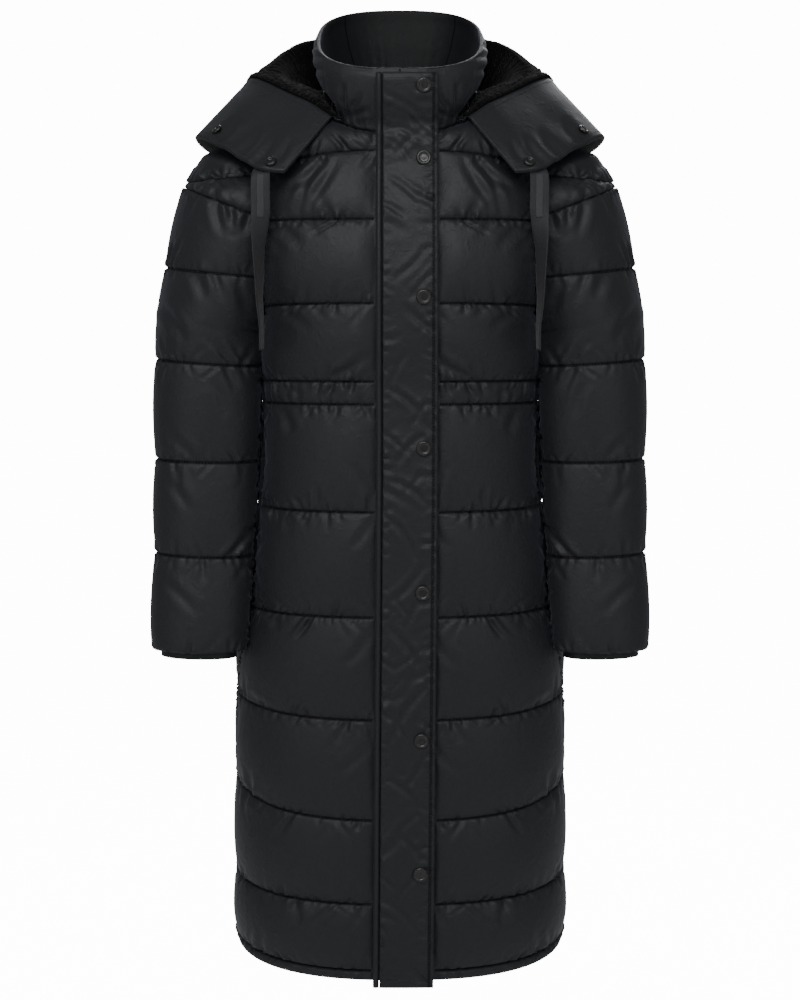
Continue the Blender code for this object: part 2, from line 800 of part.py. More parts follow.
def body_depth(x, z):
    """Distance of the fronts' base surface from the XZ plane near the centre front."""
    depth = float(BODY.at("front", z))
    width = float(BODY.at("half_width", z))
    if z > ARM_BOTTOM_Z:
        width = armhole_section(min(z, QUILT.column("side")[0]), depth, True)[0]
    return depth * (1 - (abs(x) / width) ** BODY_SQUARENESS) ** (1 / BODY_SQUARENESS)


def collar_depth(x, z):
    """Distance of the collar's front from the XZ plane near the centre front."""
    height = (z - COLLAR_BASE_Z) / (COLLAR_TOP_Z - COLLAR_TOP_SLANT - COLLAR_BASE_Z)
    width = float(COLLAR.at("half_width", height))
    depth = float(COLLAR.at("half_depth", height))
    power = NECK_SQUARENESS
    return depth * (1 - (abs(x) / width) ** power) ** (1 / power) - NECK_Y


def centre_depth(x, z):
    """Distance of the surface that the closing lies on, which eases over the neck seam."""
    if z < COLLAR_BASE_Z:
        return body_depth(x, z)
    step = body_depth(x, COLLAR_BASE_Z) - collar_depth(x, COLLAR_BASE_Z)
    return collar_depth(x, z) + step * max(0.0, 1 - (z - COLLAR_BASE_Z) / NECK_EASE)


def strip_heights():
    """Heights of the closing's rows, from the collar's top edge to below the hem."""
    low = np.arange(FLAP_HEIGHTS[-1] - FLAP_ROW, FLAP_BOTTOM_Z + FLAP_ROW / 2, -FLAP_ROW)
    return np.concatenate([FLAP_HEIGHTS, low, [FLAP_BOTTOM_Z]])


def front_strip(edges, columns):
    """A grid on the base surface of the fronts and collar, between two distances from the
    middle plane, from the collar's top to below the hem."""
    grid = []
    for z in strip_heights():
        across = np.linspace(edges[0], edges[1], columns) + flap_shift(z)
        grid.append([(x, -centre_depth(x, z), z) for x in across])
    return np.array(grid)


def make_closing(flap_finish, snap_finish):
    flap = front_strip(FLAP_EDGES_X, FLAP_COLUMNS)
    forward = np.array([0, -1.0, 0])
    flap_near = flap + forward * FLAP_NEAR
    flap_far = flap + forward * FLAP_FAR
    rows = list(range(flap.shape[0]))
    wall("storm_flap", flap_far, flap_near, rows, list(range(flap.shape[1])), flap_finish)
    welt = front_strip(WELT_EDGES_X, len(WELT_FULLNESS))
    raised = np.array(WELT_FULLNESS)[None, :, None] * (WELT_FAR - WELT_NEAR) + WELT_NEAR
    welt_far = welt + forward * raised
    welt_near = welt + forward * WELT_NEAR
    wall("flap_welt", welt_far, welt_near, rows, list(range(welt.shape[1])), flap_finish)
    for number, z in enumerate(SNAP_HEIGHTS, start=1):
        x = SNAP_X + float(flap_shift(z))
        reach = SNAP_PROFILE[0][0]
        heights = strip_heights()[::-1]
        depths = [centre_depth(x, height) for height in heights]
        above, here, below = np.interp([z + reach, z, z - reach], heights, depths)
        slope_x = (centre_depth(x + reach, z) - centre_depth(x - reach, z)) / (2 * reach)
        out = unit(np.array([-slope_x, -1.0, -(above - below) / (2 * reach)]))
        depth = max(here, (above + below) / 2) + FLAP_FAR + SEAM_GAP
        turned_disc(f"flap_snap_{number}", np.array([x, -depth, z]), out, SNAP_PROFILE, snap_finish)


def turned_disc(name, centre, axis, profile, finish):
    """A disc turned about an axis: rings of (radius, height), closed flat below and above."""
    side = unit(np.cross(axis, np.array([0, 0, 1.0])))
    up = np.cross(side, axis)
    turns = np.arange(SNAP_SIDES) * 2 * math.pi / SNAP_SIDES
    circle = np.cos(turns)[:, None] * side + np.sin(turns)[:, None] * up
    rings = np.array([centre + circle * radius + axis * height for radius, height in profile])
    count = SNAP_SIDES
    faces = grid_faces(len(profile), count, 0, True)
    faces.append(tuple(range(count)))
    faces.append(tuple(range((len(profile) - 1) * count, len(profile) * count)))
    return add_object(name, rings.reshape(-1, 3), faces, finish, 30)


# ---------------------------------------------------------------- hood

# Sections of the opened hood from the wing in front to the centre back, on the wearer's right.
# Each runs from the neck, at turn_deg around it, down into the pouch and up its far side to the
# crest, and then out over the shoulder to the lining's seam and the edge.
HOOD = Table(
    "turn_deg near_x near_y near_z low_x low_y low_z far_x far_y far_z"
    " crest_x crest_y crest_z seam_x seam_y seam_z edge_x edge_y edge_z",
    [
        (50, -.074, -.076, .004, -.076, -.077, .005, -.078, -.079, .006, -.081, -.081, .007,
         -.084, -.083, .008, -.145, -.130, -.067),
        (65, -.087, -.057, .014, -.092, -.059, .017, -.098, -.060, .020, -.104, -.061, .022,
         -.112, -.062, .023, -.179, -.121, -.062),
        (84, -.103, -.026, .028, -.116, -.024, .033, -.129, -.021, .037, -.141, -.017, .040,
         -.152, -.013, .041, -.222, -.078, -.037),
        (100, -.107, .008, .036, -.127, .016, .042, -.150, .026, .050, -.174, .036, .058,
         -.194, .044, .060, -.262, -.032, -.019),
        (120, -.095, .062, .034, -.120, .090, .030, -.150, .096, .056, -.162, .088, .086,
         -.204, .108, .050, -.250, .060, -.036),
        (145, -.064, .124, .012, -.084, .162, -.048, -.112, .174, .040, -.130, .122, .108,
         -.164, .172, .072, -.192, .156, -.030),
        (165, -.032, .132, .006, -.042, .176, -.105, -.062, .206, .020, -.070, .152, .118,
         -.086, .208, .086, -.100, .218, -.014),
        (180, .000, .134, .004, .000, .180, -.125, .000, .214, .010, .000, .158, .122,
         .000, .216, .090, .000, .230, -.008),
    ],
)
HOOD_POINTS = ("near", "low", "far", "crest", "seam", "edge")
HOOD_NECK_OUT = 0.0050
HOOD_NECK_UP = 0.004
HOOD_U = (0, 0.5, 1, 1.5, 2, 2.6, 3, 3.5, 4, 4.5, 5, 5.5, 6, 6.5, 7)
HOOD_V = (0, 0.12, 0.5, 1, 1.5, 2, 2.5, 3, 3.5, 4, 4.5, 4.992, 5.008, 5.5, 6)
LINING_ROWS = slice(1, 12)
FACING_ROWS = slice(12, 15)
HOOD_CLEAR_REACH = 0.02
HOOD_CLEAR = (0.0019, 0.0042, 0.0044)
HOOD_CLEAR_COLLAR = (0.0028, 0.0070, 0.0105)
HOOD_EVEN_ROUNDS = 14
HOOD_EVEN_TO = 2.6
HOOD_EASE_ROUNDS = 12
HOOD_SHELL_WALL = 0.002
LINING_NEAR = 0.0028
LINING_THIN = 0.0036
LINING_FAR = 0.0080
LINING_RISE = 0.035
LINING_FULL_FROM = 2.0
FACING_FAR = 0.0044
SOCKETS = ((2.47, 5.86), (0.68, 5.88))
SOCKET_LOOK = 0.02
TAPE_U = 0.92
TAPE_START_V = (5.86, 5.97)
TAPE_WIDTH = 0.024
TAPE_THICK = 0.0016
TAPE_DROP = 0.0021
TAPE_STATIONS = Table(
    "z x y twist_deg",
    [
        (-0.075, -0.1757, -0.1235, 0),
        (-0.110, -0.1757, -0.1230, 6),
        (-0.128, -0.1766, -0.1227, 24),
        (-0.160, -0.1786, -0.1224, 52),
        (-0.195, -0.1782, -0.1218, 64),
        (-0.227, -0.1780, -0.1214, 73),
        (-0.259, -0.1758, -0.1210, 79),
        (-0.289, -0.1763, -0.1210, 83),
    ],
)


def catmull_rom(controls, at):
    """Points of a smooth curve through controls (along the first axis) at places from 0."""
    controls = np.asarray(controls, dtype=float)
    padded = np.concatenate(
        [2 * controls[:1] - controls[1:2], controls, 2 * controls[-1:] - controls[-2:-1]]
    )
    at = np.asarray(at, dtype=float)
    index = np.clip(np.floor(at).astype(int), 0, len(controls) - 2)
    t = (at - index).reshape((-1,) + (1,) * (controls.ndim - 1))
    a, b, c, d = (padded[index + i] for i in range(4))
    return 0.5 * (
        2 * b + (c - a) * t + (2 * a - 5 * b + 4 * c - d) * t**2 + (3 * b - a - 3 * c + d) * t**3
    )


def hood_controls():
    """Control points of the whole hood: sections from the right wing to the left by points from
    the neck to the edge."""
    turns = np.radians(HOOD.column("turn_deg"))
    neck = neck_loop(turns, 0.0, HOOD_NECK_OUT) + np.array([0, 0, HOOD_NECK_UP])
    columns = [neck]
    for point in HOOD_POINTS:
        columns.append(np.stack([HOOD.column(f"{point}_{axis}") for axis in "xyz"], axis=1))
    right = np.stack(columns, axis=1)
    return np.concatenate([right, mirrored(right)[-2::-1]])


def hood_surface(u, v):
    """Points of the hood's underside at places u around it and v from the neck, with their
    directions towards the lining."""
    controls = hood_controls()
    step = 0.05

    def points(u_at, v_at):
        around = catmull_rom(controls, np.clip(u_at, 0, len(controls) - 1))
        return catmull_rom(np.swapaxes(around, 0, 1), np.clip(v_at, 0, controls.shape[1] - 1))

    down = points(u, v + step) - points(u, v - step)
    across = points(u + step, v) - points(u - step, v)
    return points(u, v), unit(np.cross(across, down))


def stand_clear(points, solids):
    """Moves rows of points out of neighbouring solids. solids pairs each solid's tree with the
    clearances of the first rows, the last of which holds for all that follow."""
    moved = np.array(points)
    for index in np.ndindex(moved.shape[:-1]):
        place = Vector(moved[index])
        for tree, clearances in solids:
            nearest, normal, _, distance = tree.find_nearest(place)
            if distance < HOOD_CLEAR_REACH:
                clearance = clearances[min(index[0], len(clearances) - 1)]
                place += normal * max(0.0, clearance - (place - nearest).dot(normal))
        moved[index] = place
    return moved


def evened(points, places):
    """Moves the inner rows halfway to where their places say they belong between the rows on
    either side, most towards the front, where the pouch closes up."""
    share = ((places[1:-1] - places[:-2]) / (places[2:] - places[:-2]))[:, None, None]
    middle = points[:-2] + (points[2:] - points[:-2]) * share
    amount = np.clip(1 - np.array(HOOD_U) / HOOD_EVEN_TO, 0, 1)[None, :, None]
    moved = points.copy()
    moved[1:-1] += (middle - points[1:-1]) * 0.5 * amount
    return moved


def tree_of(made):
    mesh = made.data
    return BVHTree.FromPolygons(
        [vertex.co[:] for vertex in mesh.vertices], [tuple(face.vertices) for face in mesh.polygons]
    )


def hood_grid(front, back, collar):
    """The hood's underside from the right wing to the left, standing clear of the pieces it
    lies on, with its directions towards the lining."""
    grid, _ = hood_surface(np.array(HOOD_U), np.array(HOOD_V))
    solids = [
        (tree_of(collar), HOOD_CLEAR_COLLAR),
        (tree_of(back), HOOD_CLEAR),
        (tree_of(front), HOOD_CLEAR),
    ]
    for _ in range(HOOD_EVEN_ROUNDS):
        grid = evened(stand_clear(grid, solids * 2), np.array(HOOD_V))
    grid = stand_clear(grid, solids * 3)
    grid[:, -1, 0] = 0.0
    grid = np.concatenate([grid, mirrored(grid)[:, -2::-1]], axis=1)
    return grid, hood_directions(grid)


def hood_directions(grid):
    """Directions from the hood's underside towards its lining, eased from point to point so
    that what is raised along them never crosses itself."""
    up = -grid_normals(grid)
    for _ in range(HOOD_EASE_ROUNDS):
        eased = up.copy()
        eased[1:-1] += up[2:] + up[:-2]
        eased[:, 1:-1] += up[:, 2:] + up[:, :-2]
        up = unit(eased)
    return up


def hood_point(u, v):
    """One point of the hood's underside and its direction towards the lining."""
    grid, up = hood_surface(np.array([float(u)]), np.array([float(v)]))
    return grid[0, 0], up[0, 0]


def make_hood(solids, shell_finish, lining_finish, facing_finish, snap_finish):
    grid, up = hood_grid(*solids)
    from_neck = np.linalg.norm(grid - grid[:1], axis=2, keepdims=True)
    around = np.array(HOOD_U + HOOD_U[-2::-1])[None, :, None]
    fuller = (LINING_FAR - LINING_THIN) * rise(around, LINING_FULL_FROM)
    pile = LINING_THIN + fuller * rise(from_neck, LINING_RISE)
    for name, rows, near, far, finish in (
        ("hood_shell", slice(0, None), 0.0, HOOD_SHELL_WALL, shell_finish),
        ("hood_lining", LINING_ROWS, LINING_NEAR, pile[LINING_ROWS], lining_finish),
        ("hood_facing", FACING_ROWS, LINING_NEAR, FACING_FAR, facing_finish),
    ):
        under = grid[rows]
        out = up[rows]
        lines = list(range(under.shape[0]))
        columns = list(range(under.shape[1]))
        made = wall(name, under + out * far, under + out * near, lines, columns, finish)
    facing = tree_of(made)
    for number, (u, v) in enumerate(SOCKETS, start=1):
        for side, turn in (("right", 1.0), ("left", -1.0)):
            point, up = (there * np.array([turn, 1.0, 1.0]) for there in hood_point(u, v))
            above = Vector(point + up * SOCKET_LOOK)
            seat, normal, _, _ = facing.ray_cast(above, Vector(-up))
            centre = np.array(seat + normal * SEAM_GAP)
            turned_disc(
                f"hood_snap_{side}_{number}", centre, np.array(normal), SOCKET_PROFILE, snap_finish
            )


def make_tapes(finish):
    """Flat drawstring tapes that come out under the hood's edge and hang free, turning edge on."""
    start = []
    start_across = []
    for v in TAPE_START_V:
        under, up = hood_point(TAPE_U, v)
        start.append(under - up * (TAPE_THICK / 2 + TAPE_DROP))
        side = hood_point(TAPE_U - 0.1, v)[0] - hood_point(TAPE_U + 0.1, v)[0]
        start_across.append(unit(side))
    hanging = np.stack([TAPE_STATIONS.column(axis) for axis in "xyz"], axis=1)
    centres = np.concatenate([start, hanging])
    along = unit(np.gradient(centres, axis=0))
    twist = np.radians(TAPE_STATIONS.column("twist_deg"))[:, None]
    turned = np.array([1.0, 0, 0]) * np.cos(twist) + np.array([0, 1.0, 0]) * np.sin(twist)
    across = np.concatenate([start_across, turned])
    across = unit(across - along * np.sum(across * along, axis=1, keepdims=True))
    thick = np.cross(across, along)
    half = across * TAPE_WIDTH / 2
    rise_by = thick * TAPE_THICK / 2
    outer = np.stack([centres - half + rise_by, centres + half + rise_by], axis=1)
    inner = np.stack([centres - half - rise_by, centres + half - rise_by], axis=1)
    rows = list(range(len(centres)))
    wall("tape_right", outer, inner, rows, [0, 1], finish)
    wall("tape_left", mirrored(outer), mirrored(inner), rows, [0, 1], finish)


# ---------------------------------------------------------------- pockets

POCKET_TOP_Z = -0.400
POCKET_BOTTOM_Z = -0.590
POCKET_NEAR = 0.0006
POCKET_WALL = 0.0016


def make_pocket_welts(finish):
    """Lips of the side-seam pockets, lying on the back panel's points beside the seam."""
    base, outs, lofts, _ = panel_grids(False)
    side_z = base[:, -1, 2]
    rows = np.flatnonzero((side_z < POCKET_TOP_Z) & (side_z > POCKET_BOTTOM_Z))
    patch = base[rows][:, -2:]
    out = outs[rows][:, -2:]
    near = patch + out * (lofts[rows][:, -2:, None] + POCKET_NEAR)
    far = near + out * POCKET_WALL
    lines = list(range(len(rows)))
    wall("pocket_welt_right", far[:, ::-1], near[:, ::-1], lines, [0, 1], finish)
    wall("pocket_welt_left", mirrored(far), mirrored(near), lines, [0, 1], finish)


def main():
    for made in list(bpy.data.objects):
        bpy.data.objects.remove(made, do_unlink=True)
    shell = material("quilted shell", SHELL_COLOR, 0.42)
    smooth = material("smooth facing", SHELL_COLOR, 0.45)
    sherpa = material("sherpa lining", SHERPA_COLOR, 0.95)
    tape = material("drawstring tape", TAPE_COLOR, 0.60)
    snap = material("snap enamel", SNAP_COLOR, 0.30, 0.5)
    fronts = make_fronts(shell)
    back = make_back(shell)
    make_sleeves(shell)
    make_storm_cuffs(smooth)
    collar = make_collar(shell)
    make_closing(shell, snap)
    make_hood([fronts[0], back, collar], shell, sherpa, smooth, snap)
    make_tapes(tape)
    make_pocket_welts(shell)


main()
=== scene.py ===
"""Long puffer coat: finished cloth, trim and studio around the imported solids.

Metres, +Z up. The front faces -Y and the wearer's right is -X. The origin is the middle of the
neck seam. Every piece of cloth is a grid of points worked out from the coat's own sections: the
places of its seams come from the same tables as its solid, and between the seams the cloth is
settled over its filling.
"""

import math

import bpy
import numpy as np
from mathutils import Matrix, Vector
from mathutils.bvhtree import BVHTree


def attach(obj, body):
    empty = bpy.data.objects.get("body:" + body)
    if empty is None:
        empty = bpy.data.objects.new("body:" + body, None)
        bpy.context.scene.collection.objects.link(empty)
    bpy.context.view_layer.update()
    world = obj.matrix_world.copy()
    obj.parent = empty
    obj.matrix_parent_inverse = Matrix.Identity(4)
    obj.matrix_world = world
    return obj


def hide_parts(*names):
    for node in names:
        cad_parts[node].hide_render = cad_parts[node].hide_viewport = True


bl_info = {
    "name": "Long puffer coat",
    "version": (1, 0, 0),
    "blender": (4, 5, 0),
    "location": "3D View > Sidebar > Coat",
    "description": "Builds the finished cloth, trim and studio of a long puffer coat",
    "category": "Object",
}

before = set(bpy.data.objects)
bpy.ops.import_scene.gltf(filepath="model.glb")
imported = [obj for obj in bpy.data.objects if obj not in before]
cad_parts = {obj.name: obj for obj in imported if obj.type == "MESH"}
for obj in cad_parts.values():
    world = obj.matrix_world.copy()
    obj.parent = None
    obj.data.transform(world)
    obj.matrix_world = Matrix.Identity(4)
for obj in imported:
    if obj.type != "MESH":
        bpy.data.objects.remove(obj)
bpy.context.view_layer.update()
BODY_NAME = "root"

# ---- sections of the coat

MILLIMETRES = 1000
NO_LENGTHS = {"line", "turn_deg", "step", "height", "twist_deg"}
SEAM_GAP = 0.0004
PANEL_WALL = 0.0035
PANEL_LOFT = 0.009
SLEEVE_LOFT = 0.005
COLLAR_LOFT = 0.007
YOKE_LOFT = 0.005


class Table:
    """Rows of numbers under named columns, read between the rows on smooth curves. Lengths are
    written in millimetres, and the columns in NO_LENGTHS as they are."""

    def __init__(self, columns, rows):
        self.columns = columns.split()
        scale = [1 if name in NO_LENGTHS else MILLIMETRES for name in self.columns]
        self.rows = np.array(rows, dtype=float) / scale

    def column(self, name):
        """The numbers under a name."""
        return self.rows[:, self.columns.index(name)]

    def at(self, name, key):
        """The number under a name where the first column has the given key."""
        return monotone(self.rows[:, 0], self.column(name), key)


def cubic(start, leaving, end, arriving, t):
    """Cubic Hermite curve at t from 0 to 1: from start to end with the given slopes there."""
    return (
        start * (2 * t**3 - 3 * t**2 + 1)
        + leaving * (t**3 - 2 * t**2 + t)
        + end * (3 * t**2 - 2 * t**3)
        + arriving * (t**3 - t**2)
    )


def monotone(keys, values, at):
    """Cubic Hermite curve through (keys, values) that never overshoots: its slope at a row is
    the harmonic mean of the slopes on both sides, or 0 where they change sign."""
    keys = np.asarray(keys, dtype=float)
    values = np.asarray(values, dtype=float)
    if keys[0] > keys[-1]:
        keys, values = keys[::-1], values[::-1]
    steps = np.diff(keys)
    slopes = np.diff(values) / steps
    tangents = np.zeros_like(values)
    tangents[0], tangents[-1] = slopes[0], slopes[-1]
    same = slopes[:-1] * slopes[1:] > 0
    mean = 2 * slopes[:-1] * slopes[1:] / np.where(same, slopes[:-1] + slopes[1:], 1)
    tangents[1:-1] = np.where(same, mean, 0)
    at = np.clip(np.asarray(at, dtype=float), keys[0], keys[-1])
    i = np.clip(np.searchsorted(keys, at, side="right") - 1, 0, len(steps) - 1)
    t = (at - keys[i]) / steps[i]
    leaving, arriving = tangents[i] * steps[i], tangents[i + 1] * steps[i]
    return cubic(values[i], leaving, values[i + 1], arriving, t)


BODY = Table(
    "z half_width front back",
    [
        (-16, 180, 109, 88),
        (-37, 180, 110, 104),
        (-124, 180, 134, 120),
        (-229, 180, 147, 122),
        (-268, 176.5, 147, 119),
        (-308, 180.8, 144, 115),
        (-340, 181.8, 142, 112),
        (-428, 181, 145, 118),
        (-506, 189.4, 149, 126),
        (-638, 203, 152, 133),
        (-719, 215.5, 154, 136),
        (-769, 217, 155, 138),
        (-893, 219, 158, 141),
        (-1110, 221.5, 160, 143),
    ],
)
BODY_SQUARENESS = 2.4
SIDE_SEAM = Table(
    "z y puff_over",
    [
        (-268, 0, 70),
        (-300, -18, 80),
        (-340, -30, 90),
        (-430, -49, 90),
        (-560, -56, 90),
        (-640, -52, 90),
        (-700, -44, 85),
        (-760, -28, 80),
        (-830, -16, 80),
        (-900, -8, 80),
        (-1110, -4, 80),
    ],
)
QUILT = Table(
    "line front side back",
    [
        (1, -37, -66, -60),
        (2, -124, -125, -124),
        (3, -229, -235, -235),
        (4, -328, -333, -333),
        (5, -357, -361, -361),
        (6, -494, -496, -500),
        (7, -629, -630, -636),
        (8, -762, -747, -758),
        (9, -893, -856, -875),
        (10, -1004, -989, -998),
        (11, -1092, -1071, -1076),
        (12, -1105, -1084, -1089),
    ],
)
LINE_CURVE = 2.2
ARM_TOP_Z = -0.028
ARM_BOTTOM_Z = -0.268
ARM_MIDDLE_Z = (ARM_TOP_Z + ARM_BOTTOM_Z) / 2
ARM_HALF_HEIGHT = (ARM_TOP_Z - ARM_BOTTOM_Z) / 2
ARM_FRONT = 0.092
ARM_BACK = 0.086
ARMHOLE = Table(
    "turn_deg reach",
    [(0, 198), (25, 185), (50, 171), (78, 169), (104, 174), (130, 176), (180, 176.5)],
)
NECK_SQUARENESS = 2.7
COLLAR = Table(
    "height half_width half_depth",
    [
        (0.00, 86, 89),
        (0.10, 87, 90),
        (0.32, 98, 99),
        (0.55, 108, 107),
        (0.85, 113, 111),
        (1.00, 108, 109),
    ],
)
NECK_Y = -0.015
NECK_MIDDLE_Z = 0.022
NECK_SLANT = 0.038
COLLAR_TOP_Z = 0.107
COLLAR_TOP_SLANT = 0.047
COLLAR_BASE_Z = NECK_MIDDLE_Z - NECK_SLANT
COLLAR_WALL = 0.005
COLLAR_LIFT = 0.0020
FLAP_RIGHT_X = -0.0315
FLAP_LEFT_X = 0.0490
FLAP_TOP_Z = 0.058
FLAP_BOTTOM_Z = -1.113
FLAP_LEAN = -0.005
FLAP_LEAN_FROM_Z = -0.45
EDGE_RISE = 0.030
FLAT_BAND = 0.010
SIDE_BAND = 0.012
SECTION_POINTS = 240
WRAP_POINTS = 40
FRONT_NECK_COLUMNS = 8
BACK_NECK_COLUMNS = 6


def unit(vectors):
    """The vectors, each made one metre long."""
    return vectors / np.maximum(np.linalg.norm(vectors, axis=-1, keepdims=True), 1e-12)


def grid_normals(grid):
    """Unit normals of a grid: the cross product of its two directions."""
    return unit(np.cross(np.gradient(grid, axis=0), np.gradient(grid, axis=1)))


def mirrored(grid):
    """Points of the wearer's right moved to the left, or back."""
    return grid * np.array([-1.0, 1.0, 1.0])


def running(steps):
    """Sums of the steps so far, from 0."""
    return np.concatenate([[0], np.cumsum(steps)])


def travelled(points):
    """Distances along a polyline at its points, from 0."""
    return running(np.linalg.norm(np.diff(points, axis=0), axis=1))


def at_distances(points, distances, values=None):
    """Points of a polyline, or values known at its points, at distances along it."""
    along = travelled(points)
    values = points if values is None else values
    return np.stack([np.interp(distances, along, values[:, i]) for i in range(3)], axis=1)


def rise(distance, over):
    """0 at a seam and 1 past the given distance from it, round at the top."""
    return 1 - (1 - np.clip(distance / over, 0, 1)) ** 2


def puff(step):
    """Height of a filled baffle at a step from 0 to 1 between its two quilting lines."""
    return (1 - (2 * step - 1) ** 2) ** 0.7


def between(values, places):
    """Values of a list at places that may lie between its items."""
    return np.interp(places, np.arange(len(values)), values)


def neck_loop(turn, height, outward=0.0):
    """Points of the collar at turns from 0, the centre front, over the wearer's right to pi,
    the centre back: a superellipse that slants up to the back and widens with height."""
    half_width = COLLAR.at("half_width", height) + outward
    half_depth = COLLAR.at("half_depth", height) + outward
    power = 2 / NECK_SQUARENESS
    sine, cosine = np.sin(turn), np.cos(turn)
    middle = NECK_MIDDLE_Z + (COLLAR_TOP_Z - NECK_MIDDLE_Z) * height
    slant = NECK_SLANT + (COLLAR_TOP_SLANT - NECK_SLANT) * height
    x = -half_width * np.sign(sine) * np.abs(sine) ** power
    y = NECK_Y - half_depth * np.sign(cosine) * np.abs(cosine) ** power
    z = middle + slant * (y - NECK_Y) / half_depth
    return np.stack(np.broadcast_arrays(x, y, z), axis=-1)


def from_neck(points):
    """Level directions away from the upright line through the middle of the neck."""
    return unit(points * np.array([1, 1, 0]) - np.array([0, NECK_Y, 0]))


def arm_turn(z):
    """Turn around the armhole at a height: 0 at its top and pi at its bottom."""
    return np.arccos(np.clip((z - ARM_MIDDLE_Z) / ARM_HALF_HEIGHT, -1, 1))


def arm_point(turn, depth):
    """A point of the oval armhole: depth is negative on the front and positive on the back."""
    reach = ARMHOLE.at("reach", np.degrees(turn))
    z = ARM_MIDDLE_Z + ARM_HALF_HEIGHT * np.cos(turn)
    return np.stack(np.broadcast_arrays(-reach, depth * np.sin(turn), z), axis=-1)


def shoulder_point(step):
    """A point of the shoulder seam at a step from 0 at the neck to 1 at the armhole."""
    neck = neck_loop(np.array(math.pi / 2), 0.0)
    end = arm_point(np.array(0.0), ARM_FRONT)
    return neck + (end - neck) * np.asarray(step)[..., None]


def armhole_section(side_z, depth, front):
    """Half width of the superellipse through the armhole at a height, and its turn there."""
    power = 2 / BODY_SQUARENESS
    seam = arm_point(arm_turn(side_z), -ARM_FRONT if front else ARM_BACK)
    end_turn = math.acos((abs(seam[1]) / depth) ** (1 / power))
    return -seam[0] / math.sin(end_turn) ** power, end_turn


def section(middle_z, side_z, front):
    """Half a section of the body, from the middle to the side seam or the armhole, with its
    outward directions: a superellipse whose height runs from middle_z to side_z. The back's
    goes on round the side to the seam, which lies forward of the widest line."""
    samples = np.linspace(0, 1, SECTION_POINTS)
    z = middle_z + (side_z - middle_z) * samples**LINE_CURVE
    depth = BODY.at("front" if front else "back", z)
    power = 2 / BODY_SQUARENESS
    crossing = 0.0
    if side_z > ARM_BOTTOM_Z:
        half_width, end_turn = armhole_section(side_z, depth[-1], front)
    else:
        seam_y = float(SIDE_SEAM.at("y", side_z))
        half_width = BODY.at("half_width", z)
        crossing = 0.0 if front else -seam_y
        limit = BODY.at("front", side_z)
        end_turn = math.acos((abs(seam_y) / limit) ** (1 / power)) if front else math.pi / 2
    turn = samples * end_turn
    facing = -1 if front else 1
    sine, cosine = np.sin(turn), np.cos(turn)
    points = np.stack([-half_width * sine**power, facing * depth * cosine**power, z], axis=1)
    out = np.stack(
        [-(sine ** (2 - power)) / half_width, facing * cosine ** (2 - power) / depth, 0 * z],
        axis=1,
    )
    if crossing:
        depth = float(BODY.at("front", side_z))
        width = float(BODY.at("half_width", side_z))
        end_turn = math.asin((crossing / depth) ** (1 / power))
        turn = np.linspace(0, end_turn, WRAP_POINTS)[1:]
        sine, cosine = np.sin(turn), np.cos(turn)
        wrap = [-width * cosine**power, -depth * sine**power, np.full_like(turn, side_z)]
        wrap_out = [-(cosine ** (2 - power)) / width, -(sine ** (2 - power)) / depth, 0 * turn]
        points = np.concatenate([points, np.stack(wrap, axis=1)])
        out = np.concatenate([out, np.stack(wrap_out, axis=1)])
    return points, unit(out)


def flap_shift(z):
    """Sideways lean of the closing towards the hem."""
    return FLAP_LEAN * np.clip((z - FLAP_LEAN_FROM_Z) / (FLAP_BOTTOM_Z - FLAP_LEAN_FROM_Z), 0, 1)


def seam_columns(length, flat, front):
    """Distances from the middle at which the panel's sections are tied to each other."""
    ends = [length - SIDE_BAND, length - SEAM_GAP / 2]
    if not front:
        return np.concatenate([np.linspace(0, length - EDGE_RISE, 8), ends])
    start = [SEAM_GAP / 2, flat, flat + FLAT_BAND, flat + EDGE_RISE]
    middle = np.linspace(flat + EDGE_RISE, length - EDGE_RISE, 6)[1:]
    return np.concatenate([start, middle, ends])


# ---- cloth on a filling

STRAIGHT_SPRING = 0.9
SLANTING_SPRING = 0.35
FOLD_RIDGE = 0.45
FOLD_RIDGE_PLACE = 1.9
PUCKER_ROWS = 18
PUCKER_SHORT = (0.005, 0.013)
PUCKER_LONG = 0.032
PUCKER_LEAN = 0.55
PUCKER_WIDTH = 0.0017
PUCKER_WIDENING = (0.04, 0.10)
PUCKER_BEND = 0.004
PUCKER_START = 0.0015


def noise_field(rows, columns, sizes, seed):
    """Smooth random heights of about -1 to 1 on a grid: for each size, random values that many
    grid steps apart, joined by smooth steps and added with weights that follow the size."""
    chance = np.random.default_rng(seed)
    total = np.zeros((rows, columns))
    for size in sizes:
        down, across = rows // size + 3, columns // size + 3
        knots = chance.uniform(-1, 1, (down, across))
        r, c = np.arange(rows) / size, np.arange(columns) / size
        i, j = r.astype(int), c.astype(int)
        t, s = r - i, c - j
        t, s = (t * t * (3 - 2 * t))[:, None], (s * s * (3 - 2 * s))[None, :]
        near = knots[np.ix_(i, j)] * (1 - s) + knots[np.ix_(i, j + 1)] * s
        far = knots[np.ix_(i + 1, j)] * (1 - s) + knots[np.ix_(i + 1, j + 1)] * s
        total += (near * (1 - t) + far * t) * size
    return total / sum(sizes)


def pull(a, b, weight_a, weight_b, rest, stiffness, only_push=False):
    """Moves the points a and b, views of one grid, along the line between them towards their
    rest distance, each by its share of the weights."""
    span = b - a
    length = np.linalg.norm(span, axis=-1)
    total = np.maximum(weight_a + weight_b, 1e-9)
    change = stiffness * (length - rest) / np.maximum(length, 1e-9) / total
    if only_push:
        change = np.minimum(change, 0)
    span *= change[..., None]
    a += span * weight_a[..., None]
    b -= span * weight_b[..., None]


